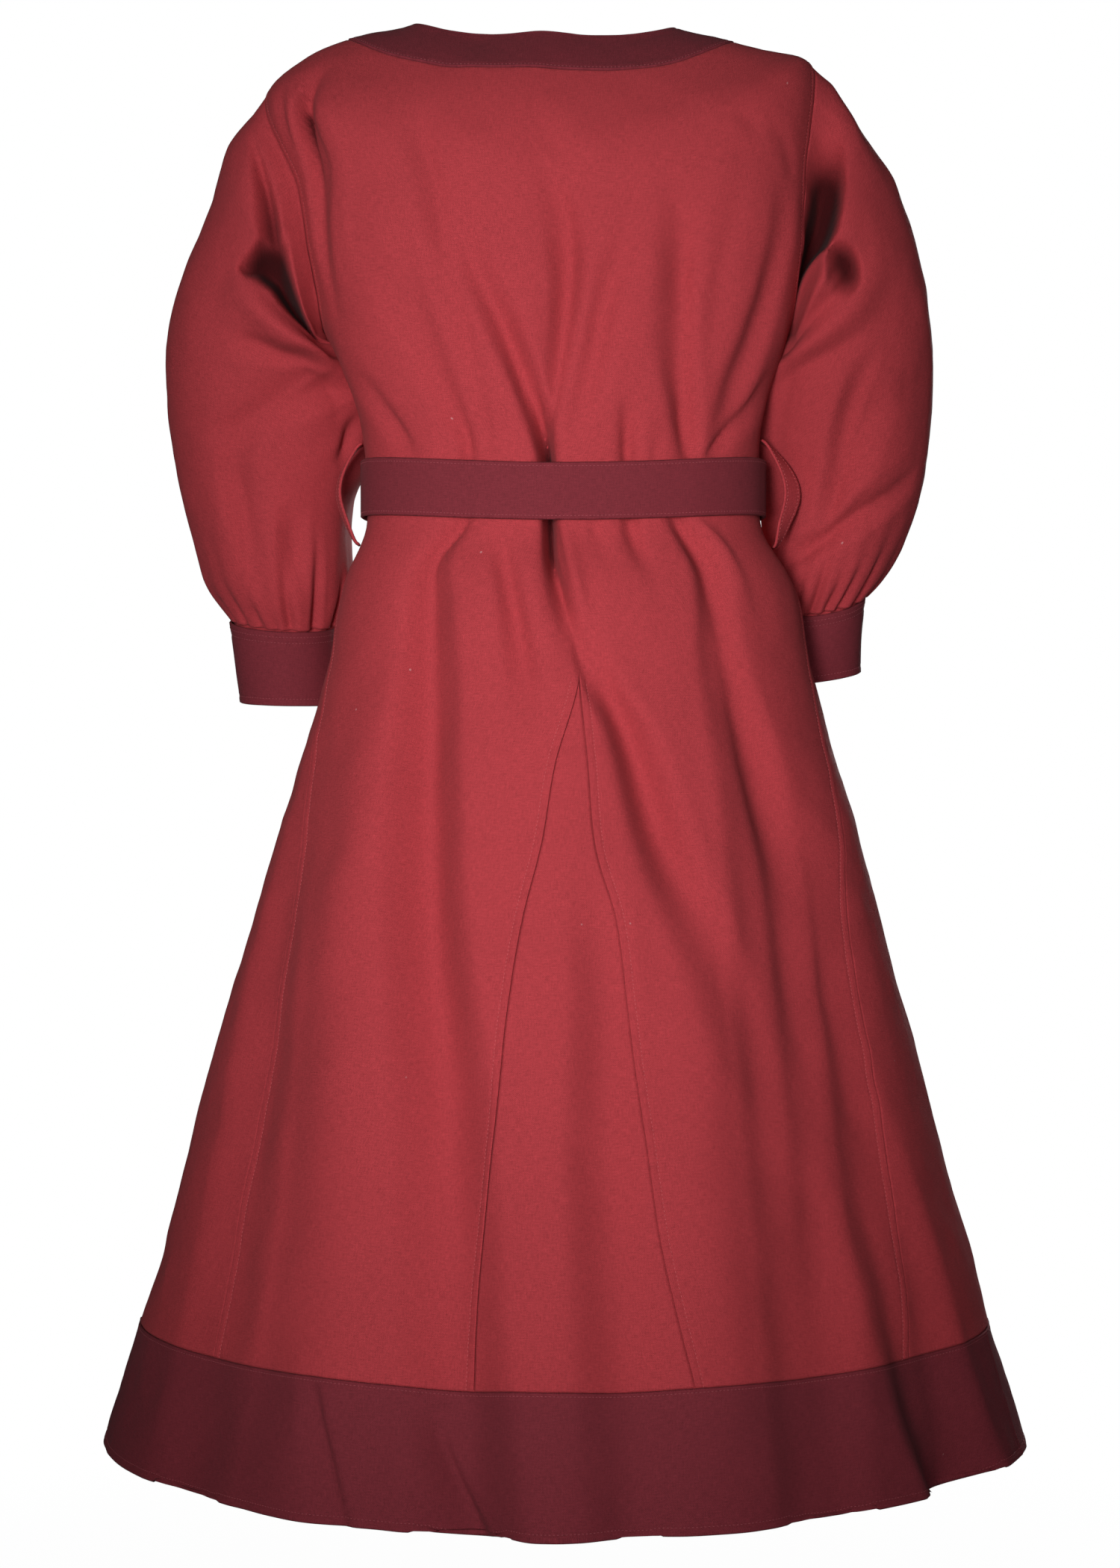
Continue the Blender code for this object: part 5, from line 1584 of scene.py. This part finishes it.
def tube_map(points):
    """Map places for a tube that was cut open at its seam: one more column than its points."""
    ring = np.concatenate([points, points[:, :1]], axis=1)
    steps = np.linalg.norm(np.diff(ring, axis=1), axis=2)
    u = np.concatenate([np.zeros((len(points), 1)), np.cumsum(steps, axis=1)], axis=1)
    down_it = np.linalg.norm(np.diff(points, axis=0), axis=2).mean(axis=1)
    v = -np.concatenate([[0.0], np.cumsum(down_it)])
    return u - u[:, -1:] / 2, v[:, None]


def sew_tube(name, side, points, thickness, colour, deep=None):
    deep = np.zeros(points.shape[:2]) if deep is None else deep
    if side == "right":
        points = np.concatenate([points[:, :1], points[:, :0:-1]], axis=1)
        deep = np.concatenate([deep[:, :1], deep[:, :0:-1]], axis=1)
    u, v = tube_map(points)
    sew_grid(name, points, u, v, thickness, colour, closed=True, deep=deep)


def sleeve_sheet(side):
    turns = round_turns(SLEEVE_COLUMNS)
    near = UNDER_EDGE[UNDER_EDGE > 0] / SLEEVE_LENGTH
    end = 1.0 - near[::-1]
    shares = np.concatenate([near, np.linspace(near[-1], end[0], SLEEVE_ROWS)[1:-1], end])
    share_grid, turn_grid = np.meshgrid(shares, turns, indexing="ij")
    points = sleeve(side, share_grid, turn_grid)
    sign = side_sign(side)
    out = sign * grid_normals(points, closed=True)
    near_body = distance_down(points, shares, 0.0)
    near_cuff = -distance_down(points, shares, 1.0)
    points = points + np.minimum(under(near_body), under(near_cuff, BAND_SHEET_WALL))[..., None] * out
    tucked = []
    for inside in SLEEVE_TUCKED:
        down, angle = armhole(side, turns, inside)
        body_out = normals_of(body, down, angle, DOWN_STEP)
        tucked.append(body(down, angle) - (SHEET_WALL + TUCK_GAP) * body_out)
    rings = cuff(side, np.array([[0.0], [TUCKED_IN_CUFF]]), turns[None, :])
    last = rings[1:] - (BAND_SHEET_WALL + UNDER_GAP) * sign * grid_normals(rings, closed=True)[1:]
    points = np.concatenate([np.array(tucked), points, last])
    # painted shade in the sleeve's deep hollows, kept for the material
    deep = painted_cavity_shade(pressed_in(side, share_grid, turn_grid), HOLLOW_START, HOLLOW_FULL)
    deep = np.pad(deep, ((len(tucked), 1), (0, 0)))
    sew_tube(f"sleeve_{side}", side, points, SHEET_WALL, "red", deep)


def cuff_sheet(side):
    turns = round_turns(CUFF_COLUMNS)
    middle = np.linspace(OVER_EDGE[-1], CUFF_DEPTH - OVER_EDGE[-1], CUFF_MIDDLE_ROWS)[1:-1]
    shares = np.concatenate([OVER_EDGE, middle, CUFF_DEPTH - OVER_EDGE[::-1]]) / CUFF_DEPTH
    share_grid, turn_grid = np.meshgrid(shares, turns, indexing="ij")
    plain = cuff(side, share_grid, turn_grid)
    sign = side_sign(side)
    out = sign * grid_normals(plain, closed=True)
    top, bottom = share_grid * CUFF_DEPTH, (1 - share_grid) * CUFF_DEPTH
    offset = over(top, CUFF_STITCHES[1]) + over(bottom, HEM_STITCH)
    points = plain + (offset + CUFF_EVEN * unevenness(plain))[..., None] * out
    out = sign * grid_normals(points, closed=True)
    for value in CUFF_STITCHES:
        stitch_level("wine", points, out, top, value, closed=True)
    stitch_level("wine", points, out, bottom, HEM_STITCH, closed=True)
    sew_tube(f"cuff_{side}", side, points, BAND_SHEET_WALL, "wine")


def stitch_armhole(side):
    turns = np.linspace(0.0, 360.0, ARMHOLE_POINTS, endpoint=False)
    down, angle = armhole(side, turns, ARMHOLE_STITCH)
    out = normals_of(body, down, angle, DOWN_STEP)
    stitch("red", body(down, angle) + (PROUD / 2 - STITCH_GROOVE) * out, out, closed=True)


for side in ("left", "right"):
    sleeve_sheet(side)
    cuff_sheet(side)
    stitch_armhole(side)

# %% [markdown]
# The belt is a double strip round the waist, stitched along both edges and closed by a plain
# lap in front. It runs through two loops at the side seams, which stand away from the cloth.

# %% Belt and belt loops
BELT_STITCH = 1.6 * MM
BELT_TURNS = 340
BELT_EDGE = np.array([0, 0.4, 1.0, 1.7, 2.4, 3.4, 5.0]) * MM
BELT_INSET, BELT_MIDDLE_ROWS = 8 * MM, 6
BELT_EVEN = 0.35  # share of the cloth's unevenness that is left in the belt
LAP_START, LAP_RISE = 290.0, 60.0  # degrees along the belt
BAND_GROOVE = 0.25 * MM


def belt():
    turns = np.linspace(BELT_START, BELT_START + 360.0 + BELT_LAP, BELT_TURNS)
    middle = np.linspace(BELT_TOP + BELT_INSET, BELT_BOTTOM - BELT_INSET, BELT_MIDDLE_ROWS)
    downs = np.concatenate([BELT_TOP + BELT_EDGE, middle, BELT_BOTTOM - BELT_EDGE[::-1]])
    lift = (BELT_WALL + 2 * SEAM_GAP) * ease((turns - BELT_START - LAP_START) / LAP_RISE)
    points, out = belt_line(*np.meshgrid(downs, turns, indexing="ij"))
    from_edges = (downs - BELT_TOP, BELT_BOTTOM - downs)
    groove = BAND_GROOVE * sum(bump((distance - BELT_STITCH) / MM) for distance in from_edges)
    rise = lift[None, :] - groove[:, None] + BELT_EVEN * np.abs(unevenness(points))
    points = points + rise[..., None] * out
    steps = np.linalg.norm(np.diff(points[0], axis=0), axis=1)
    along = np.concatenate([[0.0], np.cumsum(steps)])[None, :]
    across = -downs[:, None]
    sew_grid("belt", points, across, along, BELT_WALL, "wine")
    out = grid_normals(points)
    for distance in from_edges:
        from_edge = np.repeat(distance[:, None], len(turns), axis=1)
        stitch_level("wine", points, out, from_edge, BELT_STITCH)


LOOP = {
    "left": dict(top=0.256, bottom=0.320, bow=0.0150, splay=0.003),
    "right": dict(top=0.254, bottom=0.322, bow=0.0140, splay=0.010),
}
LOOP_WIDTH = 0.011
LOOP_COLUMNS = np.array([-0.5, -0.45, -0.38, -0.3, -0.15, 0, 0.15, 0.3, 0.38, 0.45, 0.5])
LOOP_ROWS = 49
LOOP_STITCH = 0.36  # of the width, from the middle to a row of stitches
LOOP_ARCH = 0.7  # the lower, the squarer the loop stands out
LOOP_GROOVE = 0.8 * MM


def belt_loop(side):
    """A strip along the side seam, whose front edge stands out further than its back edge."""
    size, sign = LOOP[side], side_sign(side)
    shares = np.linspace(0.0, 1.0, LOOP_ROWS)
    side_down = size["top"] + shares * (size["bottom"] - size["top"])
    seam_down = np.interp(side_down, BODY["side"], BODY["down"])
    seam = body(seam_down, np.full_like(shares, 0.0 if side == "left" else 180.0))
    arch = np.sin(np.pi * shares) ** LOOP_ARCH
    places = LOOP_WIDTH * LOOP_COLUMNS
    splay = size["splay"] * (0.5 - LOOP_COLUMNS)
    stand = SEAM_GAP + LOOP_WALL + (size["bow"] + splay[None, :]) * arch[:, None]
    groove = BAND_GROOVE * bump((np.abs(places) - LOOP_STITCH * LOOP_WIDTH) / LOOP_GROOVE)
    x = seam[:, :1] + sign * (stand - groove[None, :])
    y = np.repeat(places[None, :], len(shares), axis=0)
    points = stack(x, y, seam[:, 2:])
    u, v = np.broadcast_arrays(places[None, :], -side_down[:, None])
    if side == "right":
        points, u = points[:, ::-1], u[:, ::-1]
    sew_grid(f"belt_loop_{side}", points, u, v, LOOP_WALL, "red")
    out = grid_normals(points)
    for edge in (-1, 1):
        stitch_side("red", points, out, edge * points[..., 1], LOOP_STITCH * LOOP_WIDTH, slice(2, -2))


belt()
belt_loop("left")
belt_loop("right")

# %% [markdown]
# ## The stitches themselves
#
# One stitch is a small ball drawn out into a dash, with both ends bent down into the cloth.
# Its copies are turned to run along each seam, and all stitches of one colour are one piece.

# %% One stitch and its copies
STITCH_LENGTH = 1.7 * MM
STITCH_WIDTH = 0.42 * MM
STITCH_HEIGHT = 0.8 * STITCH_WIDTH
STITCH_BEND = 0.54  # how much its ends bend down, by their distance squared over its length
STITCH_RISE = 0.08 * MM

bpy.ops.object.select_all(action="DESELECT")
bpy.ops.mesh.primitive_ico_sphere_add(subdivisions=1, radius=0.5)
model = bpy.context.object
bpy.ops.object.mode_set(mode="EDIT")
bpy.ops.mesh.select_all(action="SELECT")
bpy.ops.transform.resize(value=(STITCH_LENGTH, STITCH_WIDTH, STITCH_HEIGHT), center_override=(0, 0, 0))
bpy.ops.object.mode_set(mode="OBJECT")
one = np.array([v.co[:] for v in model.data.vertices])
one_faces = np.array([p.vertices[:] for p in model.data.polygons])
one[:, 2] -= STITCH_BEND * one[:, 0] ** 2 / STITCH_LENGTH
bpy.data.objects.remove(model)


def lay_stitches(colour):
    places, along, out = (np.concatenate(part) for part in zip(*stitch_rows[colour]))
    aside = unit(np.cross(out, along))
    out = np.cross(along, aside)
    turned = sum(one[None, :, k, None] * axis[:, None] for k, axis in enumerate((along, aside, out)))
    points = places[:, None] + STITCH_RISE * out[:, None] + turned
    faces = one_faces[None] + len(one) * np.arange(len(places))[:, None, None]
    mesh = bpy.data.meshes.new(f"stitches_{colour}")
    mesh.from_pydata(points.reshape(-1, 3).tolist(), [], faces.reshape(-1, 3).tolist())
    mesh.shade_smooth()
    piece = bpy.data.objects.new(f"stitches_{colour}", mesh)
    bpy.context.scene.collection.objects.link(piece)
    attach(piece, "root")
    print("stitches", colour, len(places))
    return piece


threads = {colour: lay_stitches(colour) for colour in stitch_rows}
print("rows of stitches:", {colour: len(rows) for colour, rows in stitch_rows.items()})


# %% [markdown]
# ## Cotton canvas
#
# Both cloths are the same plain weave, dyed two shades. Threads that run along and across the
# cloth pass over and under each other. Each thread is a little thicker in places, and takes
# the dye a little unevenly, so a fine streak runs along it. Here and there a speck of lint
# sits on the cloth. In the bottom of a deep fold the cloth's colour is darkened: that is
# painted shade, for the shade that the lights of this scene don't give there.

# %% Wires between material nodes
class Wire:
    """A value in a material. Sums and products of wires add Math nodes."""

    def __init__(self, tree, socket):
        self.tree, self.socket = tree, socket

    def node(self, kind, settings=None, values=None, out=0):
        """Any other node: its settings first, then its values or links by input."""
        made = self.tree.nodes.new(kind)
        for key, value in (settings or {}).items():
            setattr(made, key, value)
        for key, value in (values or {}).items():
            if isinstance(value, Wire):
                self.tree.links.new(value.socket, made.inputs[key])
            else:
                made.inputs[key].default_value = value
        return Wire(self.tree, made.outputs[out])

    def math(self, operation, *values):
        return self.node("ShaderNodeMath", {"operation": operation}, dict(enumerate(values)))

    def __add__(self, other):
        return self.math("ADD", self, other)

    def __sub__(self, other):
        return self.math("SUBTRACT", self, other)

    def __rsub__(self, other):
        return self.math("SUBTRACT", other, self)

    def __mul__(self, other):
        return self.math("MULTIPLY", self, other)

    def cosine(self):
        return self.math("COSINE", self)

    def ramp(self, start, end, first, last):
        """From first to last while the wire goes from start to end."""
        return self.node("ShaderNodeMapRange", None, {0: self, 1: start, 2: end, 3: first, 4: last})

    __radd__, __rmul__ = __add__, __mul__


# %% The cloth's material
WEAVE_PITCH = 1.15 * MM
THREAD_HEIGHT = 0.16 * MM
# painted shade: how far the colour is darkened in the deepest folds
PAINTED_SHADE_STRENGTH = 0.85  # how much of its tone the cloth loses in the deepest folds
# How fine the noises are
ACROSS_THREADS, ALONG_THREADS = 1700.0, 190.0
FUZZ, PATCHES, LINT, TWIST = 1300.0, 11.0, 26.0, 900.0
# How much each changes the tone
SLUB_TONE, PATCH_TONE, CROSSING_TONE = 0.62, 0.10, 0.12
LINT_SIZE, LINT_EDGE, LINT_STRENGTH = 0.012, 0.022, 0.5
LINT_COLOUR = (0.62, 0.34, 0.34, 1.0)


def start_material(name):
    material = bpy.data.materials.new(name)
    material.use_nodes = True
    tree = material.node_tree
    shader = tree.nodes["Principled BSDF"]
    return material, tree, shader


def canvas(name, colour):
    material, tree, shader = start_material(name)
    place = Wire(tree, None)
    flat = place.node("ShaderNodeUVMap", {"uv_map": "cloth"})
    u = place.node("ShaderNodeSeparateXYZ", None, {0: flat}, 0)
    v = place.node("ShaderNodeSeparateXYZ", None, {0: flat}, 1)
    around = place.node("ShaderNodeTexCoord", None, None, 3)

    def noise(vector, scale, detail=2.0):
        values = {"Vector": vector, "Scale": scale, "Detail": detail, "Roughness": 0.6}
        return place.node("ShaderNodeTexNoise", None, values)

    def stretched(x, y):
        return flat.node("ShaderNodeVectorMath", {"operation": "MULTIPLY"}, {0: flat, 1: (x, y, 1.0)})

    warp = noise(stretched(ACROSS_THREADS, ALONG_THREADS), 1.0)
    weft = noise(stretched(ALONG_THREADS, ACROSS_THREADS), 1.0)
    fuzz = noise(flat, FUZZ, 1.0) - 0.5
    slub = warp + weft - 1.0 + fuzz
    turn = 2 * math.pi / WEAVE_PITCH
    crossing = (u * turn).cosine() * (v * turn).cosine()
    patches = noise(around, PATCHES, 3.0) - 0.5
    # Painted shade: the deep attribute darkens the cloth's colour in the bottom of deep folds and hollows.
    deep = place.node("ShaderNodeAttribute", {"attribute_name": "deep"}, None, 2)
    weave = 1.0 + SLUB_TONE * slub + PATCH_TONE * patches + CROSSING_TONE * crossing
    shade = weave * (1.0 - PAINTED_SHADE_STRENGTH * deep)
    dyed = flat.node("ShaderNodeVectorMath", {"operation": "SCALE"}, {0: colour, "Scale": shade})
    specks = flat.node("ShaderNodeTexVoronoi", None, {"Vector": flat, "Scale": LINT})
    lint = specks.ramp(LINT_SIZE, LINT_EDGE, LINT_STRENGTH, 0.0)
    # 6 and 7 are the two colours that a Mix node mixes, 2 is the colour that comes out
    mixed = place.node("ShaderNodeMix", {"data_type": "RGBA"}, {0: lint, 6: dyed, 7: LINT_COLOUR}, 2)
    tree.links.new(mixed.socket, shader.inputs["Base Color"])
    rough = 0.88 + 0.15 * slub
    tree.links.new(rough.socket, shader.inputs["Roughness"])
    height = 0.5 * crossing + 1.6 * slub
    bumps = place.node("ShaderNodeBump", None, {"Strength": 0.6, "Distance": THREAD_HEIGHT, "Height": height})
    tree.links.new(bumps.socket, shader.inputs["Normal"])
    shader.inputs["Specular IOR Level"].default_value = 0.06
    shader.inputs["Sheen Weight"].default_value = 0.02
    shader.inputs["Sheen Roughness"].default_value = 0.5
    return material


def thread(name, colour):
    """Twisted sewing thread, finely mottled in close shades."""
    material, tree, shader = start_material(name)
    place = Wire(tree, None)
    around = place.node("ShaderNodeTexCoord", None, None, 3)
    values = {"Vector": around, "Scale": TWIST, "Detail": 1.0}
    twist = place.node("ShaderNodeTexNoise", None, values)
    shade = 0.8 + 0.4 * twist
    dyed = place.node("ShaderNodeVectorMath", {"operation": "SCALE"}, {0: colour, "Scale": shade})
    tree.links.new(dyed.socket, shader.inputs["Base Color"])
    shader.inputs["Roughness"].default_value = 0.6
    return material


canvases = {
    "red": canvas("red_canvas", (0.400, 0.044, 0.053)),
    "wine": canvas("wine_canvas", (0.189, 0.027, 0.037)),
}
threads_dyed = {
    "red": thread("red_thread", (0.56, 0.10, 0.11)),
    "wine": thread("wine_thread", (0.33, 0.06, 0.075)),
}
for piece, colour in pieces.values():
    piece.data.materials.append(canvases[colour])
for colour, piece in threads.items():
    piece.data.materials.append(threads_dyed[colour])
print("materials:", len(bpy.data.materials))

# %% [markdown]
# ## Light and ground
#
# The picture was lit from beside the camera, a little to the left of it, before a white
# ground. A narrow soft beam does most of it here, so the light falls off towards the sleeves.
# A wide soft light opens the shadows, and a third one lights the front of the dress, which
# the picture doesn't show. The floor is a large pale disc that fades to pure white.

# %% Lights
def soft_light(name, place, aim, size, power, kind="AREA"):
    data = bpy.data.lights.new(name, kind)
    if kind == "AREA":
        data.shape = "DISK"
        data.size = size
    else:
        data.shadow_soft_size = size / 2
    data.energy = power
    light = bpy.data.objects.new(name, data)
    light.location = place
    direction = np.array(aim) - np.array(place)
    light.rotation_euler = (
        math.atan2(math.hypot(direction[0], direction[1]), -direction[2]),
        0.0,
        math.atan2(direction[1], direction[0]) - math.pi / 2,
    )
    bpy.context.scene.collection.objects.link(light)
    return light


MIDDLE = (0.0, 0.0, -0.34)
KEY_BEAM = math.radians(46)  # the whole angle of the beam, soft all through
KEY_NARROW = 0.5  # the beam is an upright oval
key = soft_light("key", (0.36, 2.0, -0.42), MIDDLE, 0.5, 132.0, "SPOT")
key.data.spot_size = KEY_BEAM
key.data.spot_blend = 1.0
key.scale = (KEY_NARROW, 1.0, 1.0)
soft_light("wide front light", (0.1, 2.0, -0.35), MIDDLE, 2.0, 14.0)
soft_light("front key", (-0.7, -2.1, 0.1), MIDDLE, 0.9, 32.0)
print("lights:", len(bpy.data.lights))

# %% Ground and world
FLOOR_LEVEL = -1.09
FLOOR_SIZE = dict(vertices=96, radius=6.0)
FADE_START, FADE_END, FADE_LEAST = 0.2, 0.9, 0.95  # where the floor turns white, and how white it starts
FLOOR_GLOW, WORLD_GLOW = 0.06, 0.05  # light that the white ground throws on the dress


def seen_or(wire, glow):
    """1 where the white ground itself is seen, and a weak glow where it lights the dress."""
    seen = wire.node("ShaderNodeLightPath", None, None, 0)
    return glow + (1 - glow) * seen


bpy.ops.object.select_all(action="DESELECT")
bpy.ops.mesh.primitive_circle_add(fill_type="NGON", location=(0, 0, FLOOR_LEVEL), **FLOOR_SIZE)
floor = bpy.context.object
floor.name = "floor"
material, tree, shader = start_material("pale floor")
place = Wire(tree, None)
around = place.node("ShaderNodeTexCoord", None, None, 3)
away = place.node("ShaderNodeVectorMath", {"operation": "LENGTH"}, {0: around}, 1)
fade = away.ramp(FADE_START, FADE_END, FADE_LEAST, 1.0)
shader.inputs["Base Color"].default_value = (0.93, 0.93, 0.93, 1.0)
shader.inputs["Roughness"].default_value = 1.0
shader.inputs["Specular IOR Level"].default_value = 0.0
glow = place.node("ShaderNodeEmission", None, {"Strength": seen_or(place, FLOOR_GLOW)})
mix = place.node("ShaderNodeMixShader", None, {0: fade, 1: Wire(tree, shader.outputs[0]), 2: glow})
tree.links.new(mix.socket, tree.nodes["Material Output"].inputs["Surface"])
floor.data.materials.append(material)

world = bpy.data.worlds.new("white ground")
bpy.context.scene.world = world
world.use_nodes = True
background = world.node_tree.nodes["Background"]
wire = Wire(world.node_tree, None)
strength = seen_or(wire, WORLD_GLOW)
world.node_tree.links.new(strength.socket, background.inputs["Strength"])
background.inputs["Color"].default_value = (1.0, 1.0, 1.0, 1.0)
bpy.context.scene.view_settings.view_transform = "Standard"
print("floor level:", FLOOR_LEVEL)
